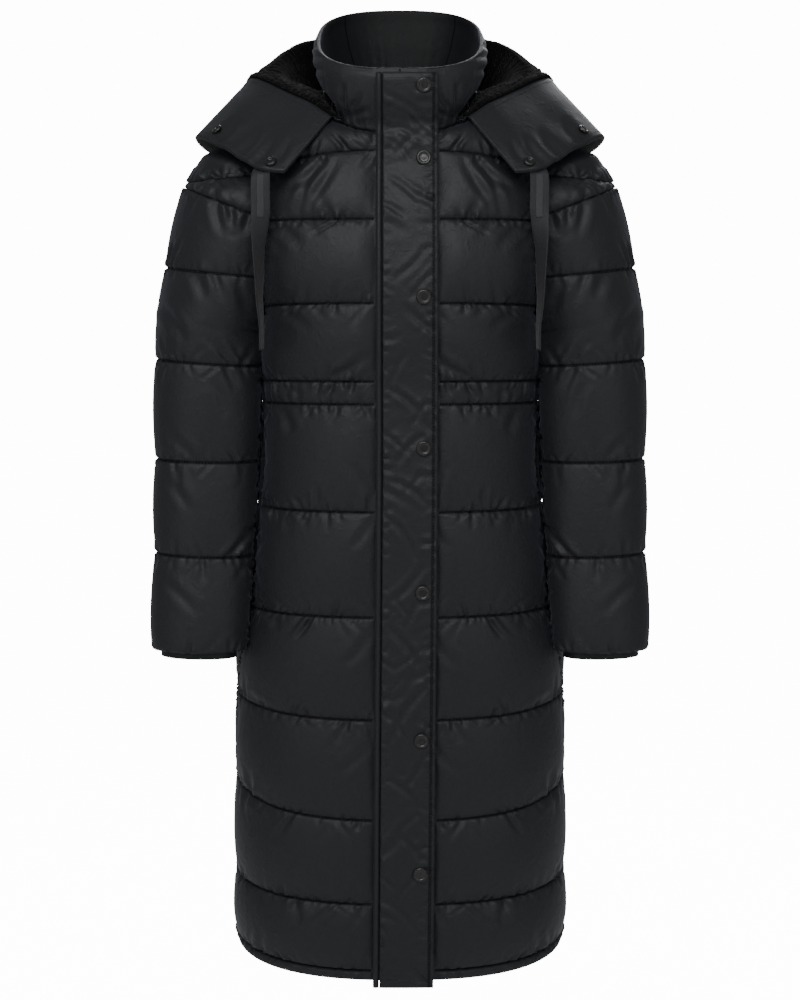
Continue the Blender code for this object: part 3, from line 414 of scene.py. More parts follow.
def settle(start, out, free, along=1.04, down=1.02, rounds=120, soft=0.02, bend=0.25, seed=1,
           bumps=0.0006):
    """Cloth settled over its filling. start holds the points of the full form and out its
    outward directions; free is 1 where the cloth may move and 0 at its seams. Springs to the
    next points have rest lengths longer than the form by the factors along and down, so the
    spare cloth buckles; springs to the points after next keep the folds round; and the filling
    pushes each point back towards the form with the strength soft. One direction of springs
    moves at a time, over whole arrays, in sets that share no point."""
    points = start.copy()
    rows, columns = points.shape[:2]
    field = noise_field(rows, columns, (3, 6, 12), seed)
    points += out * (field * bumps * free)[..., None]
    across_vector = start[:, 1:] - start[:, :-1]
    down_vector = start[1:] - start[:-1]
    across_rest = np.linalg.norm(across_vector, axis=2) * along
    down_rest = np.linalg.norm(down_vector, axis=2) * down
    right_rest = np.linalg.norm(across_vector[:-1] * along + down_vector[:, 1:] * down, axis=2)
    left_rest = np.linalg.norm(down_vector[:, :-1] * down - across_vector[:-1] * along, axis=2)
    far_across = np.linalg.norm(start[:, 2:] - start[:, :-2], axis=2)
    far_down = np.linalg.norm(start[2:] - start[:-2], axis=2)
    for _ in range(rounds):
        for p in (0, 1):
            a, b = points[:, p:-1:2], points[:, p + 1 :: 2]
            near, far = free[:, p:-1:2], free[:, p + 1 :: 2]
            pull(a, b, near, far, across_rest[:, p::2], STRAIGHT_SPRING)
            a, b = points[p:-1:2], points[p + 1 :: 2]
            pull(a, b, free[p:-1:2], free[p + 1 :: 2], down_rest[p::2], STRAIGHT_SPRING)
            a, b = points[p:-1:2, :-1], points[p + 1 :: 2, 1:]
            near, far = free[p:-1:2, :-1], free[p + 1 :: 2, 1:]
            pull(a, b, near, far, right_rest[p::2], SLANTING_SPRING)
            a, b = points[p:-1:2, 1:], points[p + 1 :: 2, :-1]
            near, far = free[p:-1:2, 1:], free[p + 1 :: 2, :-1]
            pull(a, b, near, far, left_rest[p::2], SLANTING_SPRING)
        for p in range(4):
            a, b = points[:, p:-2:4], points[:, p + 2 :: 4]
            pull(a, b, free[:, p:-2:4], free[:, p + 2 :: 4], far_across[:, p::4], bend, True)
            a, b = points[p:-2:4], points[p + 2 :: 4]
            pull(a, b, free[p:-2:4], free[p + 2 :: 4], far_down[p::4], bend, True)
        height = ((points - start) * out).sum(axis=2)
        points -= out * (height * soft * free)[..., None]
    return points


def settle_rounds(settings):
    return max(1, int(settings.rounds * (1.0)))


def smoothed(grid, free, times=1):
    """Each free point moved halfway to the mean of its four neighbours."""
    grid = grid.copy()
    for _ in range(times):
        mean = np.zeros_like(grid[1:-1, 1:-1])
        for down, across in ((0, 1), (2, 1), (1, 0), (1, 2)):
            rows, columns = grid.shape[:2]
            mean += grid[down : rows - 2 + down, across : columns - 2 + across] / 4
        grid[1:-1, 1:-1] += (mean - grid[1:-1, 1:-1]) * 0.5 * free[1:-1, 1:-1, None]
    return grid


def creased(points, out, flat, lines, scale=1.0):
    """Points with listed soft folds laid in. flat holds two plane coordinates of each point.
    A fold is (x0, y0, x1, y1, width, depth, bow) in millimetres: a trough that fades out at
    both ends, bent sideways by bow at its middle, with a lower ridge along each side."""
    height = np.zeros(points.shape[:2])
    for x0, y0, x1, y1, width, depth, bow in np.array(lines) / MILLIMETRES:
        span = np.array([x1 - x0, y1 - y0])
        length = np.linalg.norm(span)
        ahead = span / length
        side = np.array([-ahead[1], ahead[0]])
        offset = flat - np.array([x0, y0])
        t = (offset @ ahead) / length
        inside = np.clip(t, 0, 1)
        away = offset @ side - bow * 4 * inside * (1 - inside)
        away = np.hypot(away, (t - inside) * length) / width
        fade = np.clip(np.sin(math.pi * inside), 0, 1) ** 0.6
        trough = np.exp(-(away**2))
        ridge = FOLD_RIDGE * np.exp(-((away - FOLD_RIDGE_PLACE) ** 2))
        height += depth * fade * (ridge - trough)
    return points + out * (height * scale)[..., None]


def puckered(points, out, free, seams, seed, settings, across=False):
    """Points with short soft puckers that start at the seams and fade out into the cloth. Every
    pucker is a narrow trough between two low ridges, and its place, lean, length and depth come
    from random numbers. seams are grid rows, or grid columns when across is true."""
    if across:
        turned_points, turned_out = points.swapaxes(0, 1), out.swapaxes(0, 1)
        made = puckered(turned_points, turned_out, free.T, seams, seed, settings)
        return made.swapaxes(0, 1)
    chance = np.random.default_rng(seed)
    height = np.zeros(points.shape[:2])
    last = len(points) - 1
    for seam in seams:
        along = travelled(points[seam])
        count = int(along[-1] / settings.pucker_pitch)
        for way in (-1, 1):
            end = int(np.clip(seam + way * PUCKER_ROWS, 0, last))
            if end == seam:
                continue
            rows = np.arange(seam, end + way, way)
            steps = np.linalg.norm(points[rows][1:] - points[rows][:-1], axis=2)
            away = np.concatenate([np.zeros((1, len(along))), np.cumsum(steps, axis=0)])
            start = np.sort(chance.uniform(0, along[-1], count))
            group = 0.5 + 0.5 * np.sin(start / settings.pucker_pitch * 0.7 + chance.uniform(0, 6))
            long = chance.uniform(*PUCKER_SHORT, count)
            long += PUCKER_LONG * chance.uniform(0, 1, count) ** 4
            lean = chance.normal(0, PUCKER_LEAN, count)
            wide = PUCKER_WIDTH + long * chance.uniform(*PUCKER_WIDENING, count)
            deep = settings.pucker * chance.uniform(0.3, 1.0, count) * (0.45 + 0.55 * group)
            share = away[..., None] / long
            side = along[None, :, None] - start - lean * away[..., None]
            side = side - chance.uniform(-PUCKER_BEND, PUCKER_BEND, count) * share**2
            side = side / (wide * (1 + 0.5 * share))
            fade = np.clip(1 - share, 0, 1) ** 0.8 * np.clip(away[..., None] / PUCKER_START, 0, 1)
            fold = 0.5 * np.exp(-((np.abs(side) - 1.8) ** 2)) - np.exp(-(side**2))
            height[rows] += (deep * fade * fold).sum(axis=2)
    return points + out * (height * free)[..., None]


# ---- meshes


def wall_faces(rows, columns, ratio):
    """Faces of a closed wall. The outer grid has rows x columns cells and the inner one has a
    cell for each ratio x ratio of them. Along the borders one face joins ratio outer edges to
    one inner edge."""
    outer = np.arange((rows + 1) * (columns + 1)).reshape(rows + 1, columns + 1)
    down, across = rows // ratio, columns // ratio
    inner = outer.size + np.arange((down + 1) * (across + 1)).reshape(down + 1, across + 1)

    def cells(grid):
        corners = (grid[:-1, :-1], grid[:-1, 1:], grid[1:, 1:], grid[1:, :-1])
        return np.stack([corner.ravel() for corner in corners], axis=1)

    faces = cells(outer).tolist() + cells(inner)[:, ::-1].tolist()
    borders = (
        (outer[0], inner[0], False),
        (outer[-1], inner[-1], True),
        (outer[:, 0], inner[:, 0], True),
        (outer[:, -1], inner[:, -1], False),
    )
    for near, far, turn in borders:
        spans = np.lib.stride_tricks.sliding_window_view(near, ratio + 1)[::ratio]
        strip = np.concatenate([far[:-1, None], far[1:, None], spans[:, ::-1]], axis=1)
        faces += (strip[:, ::-1] if turn else strip).tolist()
    return faces


def put(name, points, faces, look, uv=None, flip=False, seam=None):
    """A piece from points and faces in one of the FINISHES, shaded smooth, riding on the coat.
    uv gives each point's place on the cloth in metres, and seam is the mask of painted shade:
    1 at the bottom of its sewn grooves, where the material paints their shadow."""
    name = name.replace(" ", "_")
    mesh = bpy.data.meshes.new(name)
    if flip:
        faces = [face[::-1] for face in faces]
    mesh.from_pydata(np.asarray(points).reshape(-1, 3).tolist(), [], faces)
    if uv is not None:
        corners = np.empty(len(mesh.loops), dtype=np.int32)
        mesh.loops.foreach_get("vertex_index", corners)
        layer = mesh.uv_layers.new(name="cloth")
        layer.data.foreach_set("uv", np.asarray(uv).reshape(-1, 2)[corners].ravel())
    if seam is not None:
        # The seam attribute is the mask of painted shade in the sewn grooves.
        shade = mesh.attributes.new("seam", "FLOAT", "POINT")
        shade.data.foreach_set("value", np.asarray(seam, dtype=np.float32).ravel())
    mesh.shade_smooth()
    mesh.update()
    piece = bpy.data.objects.new(name, mesh)
    bpy.context.scene.collection.objects.link(piece)
    mesh.materials.append(finish(look))
    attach(piece, BODY_NAME)
    return piece


def cloth_uv(grid):
    """Places on the cloth in metres: the mean distance travelled along the grid's columns and
    down its rows."""
    across = np.linalg.norm(np.diff(grid, axis=1), axis=2).mean(axis=0)
    down = np.linalg.norm(np.diff(grid, axis=0), axis=2).mean(axis=1)
    return np.stack(np.meshgrid(running(across), running(down)), axis=-1)


def put_wall(name, outer, inner, ratio, look, flip=False, seam=None):
    """A closed wall between a fine outer grid and an inner grid taken every ratio points. seam
    is the mask of painted shade: 1 at the points of the outer grid that lie in a sewn groove."""
    inner = inner[::ratio, ::ratio]
    uv = cloth_uv(outer)
    faces = wall_faces(outer.shape[0] - 1, outer.shape[1] - 1, ratio)
    points = np.concatenate([outer.reshape(-1, 3), inner.reshape(-1, 3)])
    uvs = np.concatenate([uv.reshape(-1, 2), uv[::ratio, ::ratio].reshape(-1, 2)])
    if seam is not None:
        seam = np.concatenate([seam.ravel(), np.zeros(inner.shape[0] * inner.shape[1])])
    return put(name, points, faces, look, uvs, flip, seam)


def places(cells):
    """Places from 0 to len(cells), cut into the given number of cells in each unit."""
    parts = [index + np.arange(1, count + 1) / count for index, count in enumerate(cells)]
    return np.concatenate([[0.0], *parts])


# ---- body panels

UNDERARM_RISE = 0.070
YOKE_CELLS = 24
BAFFLE_CELLS = (28, 40, 36, 12, 48, 48, 48, 48, 40, 36, 4)
RIGHT_CELLS = (13, 4, 9, 13, 13, 13, 13, 13, 9, 4)
LEFT_CELLS = (19, 4, 9, 13, 13, 13, 13, 13, 7, 4)
BACK_CELLS = (13, 13, 13, 13, 13, 13, 13, 9, 4)
NECK_OUT_RISE = 0.8
YOKE_BEND = (0.5, 0.12, 0.88)
SEAM_DRAWN_IN = 0.0014
DEEPEST_SHARE = 0.3
SIDE_OUT = 0.0016
SIDE_OUT_OVER = 0.02
EDGE_COLUMNS = 14
CALM_ROW = 0.0012
SIDE_FULLNESS = 0.75
FULL_BAFFLE = 0.085


def top_border(columns, front, flat, last):
    """Top points of a panel: along the neck seam, then out along the shoulder seam."""
    turns = np.linspace(0, math.pi / 2, 200)
    neck = neck_loop(turns if front else math.pi - turns, 0.0)
    length = travelled(neck)[-1]
    if front:
        start = [SEAM_GAP / 2, flat, flat + FLAT_BAND, flat + EDGE_RISE]
        rest = np.linspace(flat + EDGE_RISE, length, FRONT_NECK_COLUMNS - len(start) + 1)[1:]
        tied = np.concatenate([start, rest])
    else:
        tied = np.linspace(0, length, BACK_NECK_COLUMNS)
    corner = len(tied) - 1
    on_neck = columns <= corner
    along_neck = at_distances(neck, between(tied, columns[on_neck]))
    steps = (columns[~on_neck] - corner) / (last - corner)
    shoulder = shoulder_point(steps)
    shoulder[:, 1] += -SEAM_GAP / 2 if front else SEAM_GAP / 2
    shoulder[-1, 0] += SEAM_GAP
    neck_out = from_neck(along_neck) + np.array([0, 0, NECK_OUT_RISE])
    slope = shoulder_point(1.0) - shoulder_point(0.0)
    across = unit(np.array([slope[2], 0, -slope[0]]))
    out = np.concatenate([neck_out, np.broadcast_to(across, shoulder.shape)])
    return np.concatenate([along_neck, shoulder]), unit(out)


def body_panel(front, flap_x, cells):
    """Base points, outward directions and filled heights of half the body on the wearer's
    right, and its seam rows. Below the first quilting line each row is a section of the body;
    above it each column is a parabola up to the neck or the shoulder."""
    columns = places(cells)
    last = len(cells)
    quilt = places(BAFFLE_CELLS)
    name = "front" if front else "back"
    middle = between(QUILT.column(name), quilt)
    side = between(QUILT.column("side"), quilt)
    tall = -np.diff(QUILT.column(name))
    base, outs, lofts = [], [], []
    for place, middle_z, side_z in zip(quilt, middle, side):
        baffle = min(int(place), len(tall) - 1)
        loft = PANEL_LOFT * min(1.0, tall[baffle] / FULL_BAFFLE) * puff(place - baffle)
        points, out = section(middle_z, side_z, front)
        length = travelled(points)[-1]
        flat = abs(flap_x + float(flap_shift(middle_z)))
        distances = between(seam_columns(length, flat, front), columns)
        base.append(at_distances(points, distances))
        outs.append(unit(at_distances(points, distances, out)))
        puff_over = float(SIDE_SEAM.at("puff_over", side_z)) * SIDE_FULLNESS
        full = rise(length - distances, puff_over)
        full = full * (rise(distances - flat, EDGE_RISE) if front else 1.0)
        underarm = np.linalg.norm(base[-1] - arm_point(math.pi, 0.0), axis=1)
        lofts.append(loft * full * rise(underarm, UNDERARM_RISE))
    top, top_out = top_border(columns, front, abs(flap_x), last)
    first, first_out = base[0], outs[0]
    bend = first + (top - first) * np.array(YOKE_BEND)
    shape = lofts[BAFFLE_CELLS[0] // 2] / lofts[BAFFLE_CELLS[0] // 2].max()
    yoke = [[], [], []]
    for step in np.arange(YOKE_CELLS) / YOKE_CELLS:
        row = top * (1 - step) ** 2 + bend * 2 * step * (1 - step) + first * step**2
        if step:
            seam = arm_turn(min(row[-1, 2], ARM_TOP_Z))
            edge = arm_point(seam, -ARM_FRONT if front else ARM_BACK) + np.array([SEAM_GAP, 0, 0])
            row += (edge - row[-1]) * np.clip(columns - (last - 1), 0, 1)[:, None]
        yoke[0].append(row)
        yoke[1].append(unit(top_out * (1 - step) + first_out * step))
        yoke[2].append(YOKE_LOFT * puff(step) * shape)
    base, outs, lofts = (np.array(a + b) for a, b in zip(yoke, (base, outs, lofts)))
    return base, outs, lofts, running((YOKE_CELLS,) + BAFFLE_CELLS)


def finish_panel(base, outs, lofts, lines, held_columns, seed, settings, folds):
    """The cloth of one panel, settled over its filling with its folds and puckers laid in, its
    inner side a plain wall's width behind the base, and a mask of its sewn grooves, which are
    drawn in and get painted shade in the material. Below the armhole the edges at the side
    seam are let out instead."""
    free = np.ones(base.shape[:2])
    free[lines] = 0
    free[:, [0, -1]] = 0
    free[:, held_columns] = 0
    start = base + outs * lofts[..., None]
    cloth = settle(
        start, outs, free, 1 + settings.gather, 1 + settings.slack, settle_rounds(settings),
        settings.filling, seed=seed, bumps=settings.crinkle,
    )
    cloth = smoothed(cloth, free, 2)
    flat = base[..., [0, 2]]
    cloth = creased(cloth, outs * free[..., None], flat, folds)
    spread = np.linalg.norm(np.gradient(base, axis=0), axis=2)
    calm = free * np.clip(spread / CALM_ROW, 0, 1) ** 2
    cloth = puckered(cloth, outs, calm, lines, seed + 20, settings)
    cloth = puckered(cloth, outs, calm, [0, cloth.shape[1] - 1], seed + 40, settings, True)
    height = ((cloth - base) * outs).sum(axis=2)
    cloth -= outs * np.minimum(height + PANEL_WALL * DEEPEST_SHARE, 0)[..., None]
    # Mask of the sewn grooves: drawn in here, and given painted shade in the material.
    groove_and_painted_shade = np.zeros(base.shape[:2])
    groove_and_painted_shade[lines[1:-1]] = 1
    groove_and_painted_shade[1:-1, [0, -1]] = 1
    groove_and_painted_shade[:, held_columns] = 0
    below = np.clip((ARM_BOTTOM_Z - base[..., 2]) / SIDE_OUT_OVER, 0, 1)
    column = np.arange(base.shape[1])
    near_edge = np.clip(1 - np.minimum(column, column[::-1]) / EDGE_COLUMNS, 0, 1) * below
    near_edge[:, held_columns] = 0
    cloth += outs * (SIDE_OUT * near_edge - SEAM_DRAWN_IN * groove_and_painted_shade * (1 - near_edge))[..., None]
    return cloth, base - outs * PANEL_WALL, groove_and_painted_shade


# ---- sleeves

SLEEVE = Table(
    "step out_x out_z in_z in_x front back middle_y",
    [
        (0.00, -199, -28, -30, -198, 21, 20, 0),
        (0.35, -227, -31, -35, -190, 36, 34, 0),
        (0.70, -258, -46, -49, -180, 58, 54, 0),
        (1.00, -279, -76, -66, -175, 72, 68, 0),
        (2.00, -282, -82, -125, -170, 94, 88, 0),
        (3.00, -308, -186, -198, -176, 96, 90, 0),
        (3.60, -317, -258, -270, -179, 84, 91, -10),
        (3.75, -318, -276, -286, -180.4, 72, 96, -22),
        (4.00, -319, -304, -313, -182.6, 60, 100, -34),
        (5.00, -319.8, -434, -437, -187.8, 51, 89, -45),
        (6.00, -320.5, -556, -560, -195, 46, 78, -60),
        (7.00, -324.5, -680, -682, -202.5, 43, 66, -82),
    ],
)
SLEEVE_COLUMNS = (0.0, 0.13, 0.26, 0.39, 0.52, 0.65, 0.78, 0.90, 1.0)
SLEEVE_COLUMN_CELLS = (9,) * 8
SLEEVE_CELLS = (28, 12, 32, 36, 40, 36, 40)
SLEEVE_END = 7.0
FULL_SLEEVE_BAFFLE = 0.030
LONG_SLEEVE_BAFFLE = 0.06
SLEEVE_HALF_POINTS = 160
SLEEVE_EDGE_RISE = 0.060
CUFF_TOP_STEP = 6.72
CUFF_TOP_IN = 0.0060
CUFF_BOTTOM_IN = 0.012
CUFF_DROP = 0.010
CUFF_WALL = 0.002
CUFF_RINGS = 12
CUFF_SIDES = 120
CUFF_HEM_PARTS = (0.25, 0.5, 0.8, 0.95)


def sleeve_half(step, front, inward=0.0):
    """Dense points from a sleeve's outer line to its inner seam or the armhole: part of an
    ellipse, slanting from its outer height to its inner height."""
    out_x, out_z, in_z, in_x, front_depth, back_depth, middle_y = (
        float(SLEEVE.at(name, step)) for name in SLEEVE.columns[1:]
    )
    out_x += inward
    depth = (front_depth if front else back_depth) - inward
    past = 0.0
    if in_z > ARM_BOTTOM_Z:
        seam = arm_point(arm_turn(in_z), -ARM_FRONT if front else ARM_BACK)
        in_x = seam[0] - SEAM_GAP
        past = math.asin(min(1.0, abs(seam[1]) / depth))
    else:
        in_x -= inward
    half_width = (in_x - out_x) / (1 + math.cos(past))
    turn = np.linspace(0, math.pi - past, SLEEVE_HALF_POINTS)
    x = out_x + half_width * (1 - np.cos(turn))
    y = middle_y + depth * np.sin(turn) * (-1 if front else 1)
    z = out_z + (in_z - out_z) * (x - out_x) / (in_x - out_x)
    return np.stack([x, y, z], axis=1)


def sleeve_grid():
    """Base points, outward directions and filled heights of a sleeve, from its front edge over
    the outer line to its back edge."""
    columns = between(SLEEVE_COLUMNS, places(SLEEVE_COLUMN_CELLS))
    base, lofts = [], []
    for place in places(SLEEVE_CELLS):
        line = min(int(place), len(SLEEVE_CELLS) - 1)
        ends = SLEEVE.at("out_z", np.array([line, line + 1.0]))
        inner_ends = SLEEVE.at("in_z", np.array([line, line + 1.0]))
        span = max(abs(ends[1] - ends[0]), abs(inner_ends[1] - inner_ends[0]))
        open_seam = float(SLEEVE.at("in_z", place)) > ARM_BOTTOM_Z
        halves, full = [], []
        for front in (True, False):
            points = sleeve_half(place, front)
            length = travelled(points)[-1] - (0 if open_seam else SEAM_GAP)
            halves.append(at_distances(points, columns * length))
            full.append(rise(length - columns * length, SLEEVE_EDGE_RISE * SIDE_FULLNESS))
        base.append(np.concatenate([halves[0][::-1], halves[1][1:]]))
        full = np.concatenate([full[0][::-1], full[1][1:]])
        lofts.append(SLEEVE_LOFT * min(1.0, span / LONG_SLEEVE_BAFFLE) * puff(place - line) * full)
    base, lofts, lines = np.array(base), np.array(lofts), running(SLEEVE_CELLS)
    for first, last in zip(lines[1:], lines[2:]):
        tall = np.linalg.norm(base[last] - base[first], axis=1)
        lofts[first + 1 : last] *= np.clip(tall / FULL_SLEEVE_BAFFLE, 0, 1)
    return base, -grid_normals(base), lofts, lines


def turned(rings):
    """Faces of a form whose rings (rows x columns points) close around their columns, with a
    flat face at each end."""
    rows, columns = rings.shape[:2]
    index = np.arange(rows * columns).reshape(rows, columns)
    beside = np.roll(index, -1, axis=1)
    corners = (index[:-1], beside[:-1], beside[1:], index[1:])
    faces = np.stack([corner.ravel() for corner in corners], axis=1).tolist()
    return faces + [index[0, ::-1].tolist(), index[-1].tolist()]


def looped(rings):
    """Faces of a form that closes around its columns and around its rows."""
    index = np.arange(rings.shape[0] * rings.shape[1]).reshape(rings.shape[:2])
    below, beside = np.roll(index, -1, axis=0), np.roll(index, -1, axis=1)
    corners = (index, beside, np.roll(below, -1, axis=1), below)
    return np.stack([corner.ravel() for corner in corners], axis=1).tolist()


def cuff_rings():
    """Rings of a storm cuff: down its outer side, round the hem and up its inner side."""
    steps = np.linspace(CUFF_TOP_STEP, SLEEVE_END, CUFF_RINGS)
    downs = [(step, 0.0, share) for step, share in zip(steps, np.linspace(0, 1, CUFF_RINGS))]
    downs += [(SLEEVE_END, CUFF_DROP * part, 1.0) for part in CUFF_HEM_PARTS]
    rings = []
    for wall, order in ((0.0, downs), (CUFF_WALL, downs[::-1])):
        for step, drop, share in order:
            inward = CUFF_TOP_IN + (CUFF_BOTTOM_IN - CUFF_TOP_IN) * share + wall
            front, back = sleeve_half(step, True, inward), sleeve_half(step, False, inward)
            ring = np.concatenate([front, back[-2::-1]])
            distances = np.linspace(0, travelled(ring)[-1], CUFF_SIDES + 1)[:-1]
            points = at_distances(ring, distances)
            points[:, 2] -= drop
            rings.append(points)
        if not wall:
            middle = rings[-1] * 1.0
            middle[:, 2] -= CUFF_DROP * (1 - CUFF_HEM_PARTS[-1])
            rings.append(middle)
    return np.array(rings)


# ---- collar and closing

COLLAR_STATIONS = 240
COLLAR_GATHERS = 46
COLLAR_OUTER = 26
COLLAR_INSIDE = COLLAR_OUTER + 4
COLLAR_EDGE_RISE = 0.012
COLLAR_EDGE_BACK = 0.0025
COLLAR_GATHER_DEPTH = 0.0016
COLLAR_GATHER_REACH = 0.30
COLLAR_CALM = 0.06
COLLAR_FOLD_DEPTH = 1.8
# Mask value of the painted shade over the collar's inner side.
COLLAR_INSIDE_SHADE = 0.62
COLLAR_SEAM_X = 0.062
FLAP_EDGES_X = (-0.0218, 0.0480)
WELT_EDGES_X = (-0.0305, -0.0225)
FLAP_NEAR = 0.0034
FLAP_FAR = 0.0064
WELT_NEAR = 0.0012
WELT_FAR = 0.0072
WELT_COLUMNS = 8
NECK_EASE = 0.015
FLAP_ROW = 0.0035
FLAP_FOLD_DEPTH = 2.2
FLAP_PUCKER = 1.3
FLAP_COLUMN = 0.0029
FLAP_GATHER = 1.008
FLAP_SLACK = 1.030
FLAP_FILLING = 0.035
FLAP_BUMPS = 0.0008
FLAP_THIN = 0.0014
SNAP_X = 0.0300
SNAP_HEIGHTS = (0.042, -0.047, -0.221, -0.412, -0.596, -0.787, -0.962)
SNAP_SIDES = 48
# Radius and height of each ring, in millimetres.
SNAP_PROFILE = (
    (9.3, 0), (9.6, 0.5), (9.5, 1.4), (9, 2.1), (8.3, 2.6),
    (7.6, 2.8), (6.8, 2.7), (6.2, 2.4), (5.7, 1.9), (5, 1.7),
    (3, 1.8), (1.2, 1.9),
)
SOCKET_PROFILE = (
    (7.2, 0), (7.5, 0.5), (7.4, 1.2), (6.8, 2.2), (6, 2.7),
    (5.1, 2.8), (4.3, 2.5), (3.8, 1.8), (3.5, 1), (2, 0.8),
    (0.8, 0.9),
)


def collar_rings():
    """Cross-sections of the padded collar, from the right edge of its opening round the back to
    the left edge. Each goes up the outer side, over the rounded top edge and down the fuller
    inner side. The outer side is gathered at its foot: low folds that run up and fade out."""
    turns = np.linspace(0, math.pi, 400)
    up = np.linspace(0, 1, COLLAR_OUTER)
    fold = noise_field(3, 2 * COLLAR_STATIONS + 1, (9,), 31)[0]
    profile = [(h, 0.0) for h in up]
    for a in np.linspace(0.5, math.pi - 0.4, 6):
        profile.append(
            (1.0 + COLLAR_EDGE_RISE * math.sin(a), -COLLAR_EDGE_BACK * (1 - math.cos(a)))
        )
    profile += [(h, -COLLAR_WALL - COLLAR_LOFT * puff(h)) for h in up[::-1]]
    rings = []
    for height, outward in profile:
        half = neck_loop(turns, min(height, 1.0), outward)
        length = travelled(half)[-1]
        distances = np.linspace(SEAM_GAP, length, COLLAR_STATIONS + 1)
        points = at_distances(half, distances)
        points[:, 2] += COLLAR_LIFT + max(0.0, height - 1.0) * 0.12
        around = np.concatenate([points, mirrored(points)[-2::-1]])
        share = np.linspace(0, 1, len(around))
        wave = np.sin(share * 2 * math.pi * COLLAR_GATHERS + 2.5 * fold)
        flat = np.clip((0.5 - np.abs(share - 0.5)) / COLLAR_CALM, 0, 1)
        depth = COLLAR_GATHER_DEPTH * math.exp(-max(0, height) / COLLAR_GATHER_REACH)
        depth = depth * (0.4 + 0.6 * np.abs(fold))
        fade = rise(max(0.0, height), COLLAR_CALM) * (1 if outward == 0 else 0.4)
        rings.append(around + from_neck(around) * (wave * depth * fade * flat)[:, None])
    return np.array(rings).swapaxes(0, 1)


def collar_cloth(rings):
    """The collar with its folds, and a mask of painted shade over its inner side, darkest along
    the two upright seams that it has at the back."""
    outer = rings[:, :COLLAR_OUTER]
    flat = np.stack([-np.abs(outer[..., 0]), outer[..., 2]], axis=-1)
    before = np.clip(-outer[..., 1] / 0.02, 0, 1)[..., None]
    out = from_neck(outer) * before
    folded = creased(outer, out, flat, COLLAR_FOLDS, COLLAR_FOLD_DEPTH)
    # Painted shade: over the collar's inner side, and darkest along its two upright back seams.
    groove_and_painted_shade = np.zeros(rings.shape[:2])
    groove_and_painted_shade[:, COLLAR_INSIDE:] = COLLAR_INSIDE_SHADE
    behind = rings[:, 0, 1] > 0
    for side in (-1, 1):
        away = np.abs(rings[:, 0, 0] - side * COLLAR_SEAM_X) + np.where(behind, 0, 1)
        groove_and_painted_shade[int(np.argmin(away)), COLLAR_INSIDE:] = 1
    return np.concatenate([folded, rings[:, COLLAR_OUTER:]], axis=1), groove_and_painted_shade


def body_depth(x, z):
    """Distance from the XZ plane of the body's front, a superellipse, at a place."""
    depth = BODY.at("front", z)
    width = BODY.at("half_width", z)
    power = 1 / BODY_SQUARENESS
    if z > ARM_BOTTOM_Z:
        width = armhole_section(min(z, QUILT.column("side")[0]), float(depth), True)[0]
    return depth * (1 - (np.abs(x) / width) ** BODY_SQUARENESS) ** power


def collar_depth(x, z):
    """Distance from the XZ plane of the collar's front, a superellipse, at a place."""
    height = (z - COLLAR_BASE_Z) / (COLLAR_TOP_Z - COLLAR_TOP_SLANT - COLLAR_BASE_Z)
    width, depth = COLLAR.at("half_width", height), COLLAR.at("half_depth", height)
    return depth * (1 - (np.abs(x) / width) ** NECK_SQUARENESS) ** (1 / NECK_SQUARENESS) - NECK_Y


def centre_depth(x, z):
    """Distance from the XZ plane of the surface that the closing lies on: the fronts, then the
    collar, with an ease over the neck seam."""
    if z < COLLAR_BASE_Z:
        return body_depth(x, z)
    step = body_depth(x, COLLAR_BASE_Z) - collar_depth(x, COLLAR_BASE_Z)
    return collar_depth(x, z) + step * max(0.0, 1 - (z - COLLAR_BASE_Z) / NECK_EASE)


def front_strip(edges, columns, heights):
    """A grid on the coat's front between two distances from the middle plane."""
    across = np.linspace(edges[0], edges[1], columns + 1)
    rows = []
    for z in heights:
        x = across + float(flap_shift(z))
        rows.append(np.stack([x, -centre_depth(x, z), np.full_like(x, z)], axis=1))
    return np.array(rows)


def forwards(grid):
    """Directions straight to the front for the points of a grid."""
    return np.broadcast_to(np.array([0.0, -1.0, 0.0]), grid.shape)


def flap_heights():
    """Heights of the rows of the storm flap and its welt."""
    count = 4 * round((FLAP_TOP_Z - FLAP_BOTTOM_Z) / FLAP_ROW / 4)
    return np.linspace(FLAP_TOP_Z, FLAP_BOTTOM_Z, count + 1)


def flap_cloth(settings, folds):
    """The storm flap: cloth held along its welt, its hem and its topstitching, with spare
    length, so it puckers along the stitching and hangs in slanting folds."""
    columns = 4 * round((FLAP_EDGES_X[1] - FLAP_EDGES_X[0]) / FLAP_COLUMN / 4)
    base = front_strip(FLAP_EDGES_X, columns, flap_heights())
    out = forwards(base)
    free = np.ones(base.shape[:2])
    free[[0, -1]] = 0
    free[:, 0] = 0
    free[:, -1] = 0.35
    free[:, -3] = 0.12
    free[2] = free[-4] = 0.2
    cloth = settle(
        base + out * FLAP_FAR, out, free, FLAP_GATHER, FLAP_SLACK, settle_rounds(settings),
        FLAP_FILLING, seed=9, bumps=FLAP_BUMPS,
    )
    cloth = smoothed(cloth, free, 1)
    cloth = creased(cloth, out * free[..., None], base[..., [0, 2]], folds, FLAP_FOLD_DEPTH)
    held = [0, cloth.shape[1] - 3]
    cloth = puckered(cloth, out * FLAP_PUCKER, free, held, 31, settings, True)
    height = -(cloth[..., 1] - base[..., 1])
    cloth[..., 1] -= np.maximum(FLAP_NEAR + FLAP_THIN - height, 0)
    return cloth, base + out * FLAP_NEAR


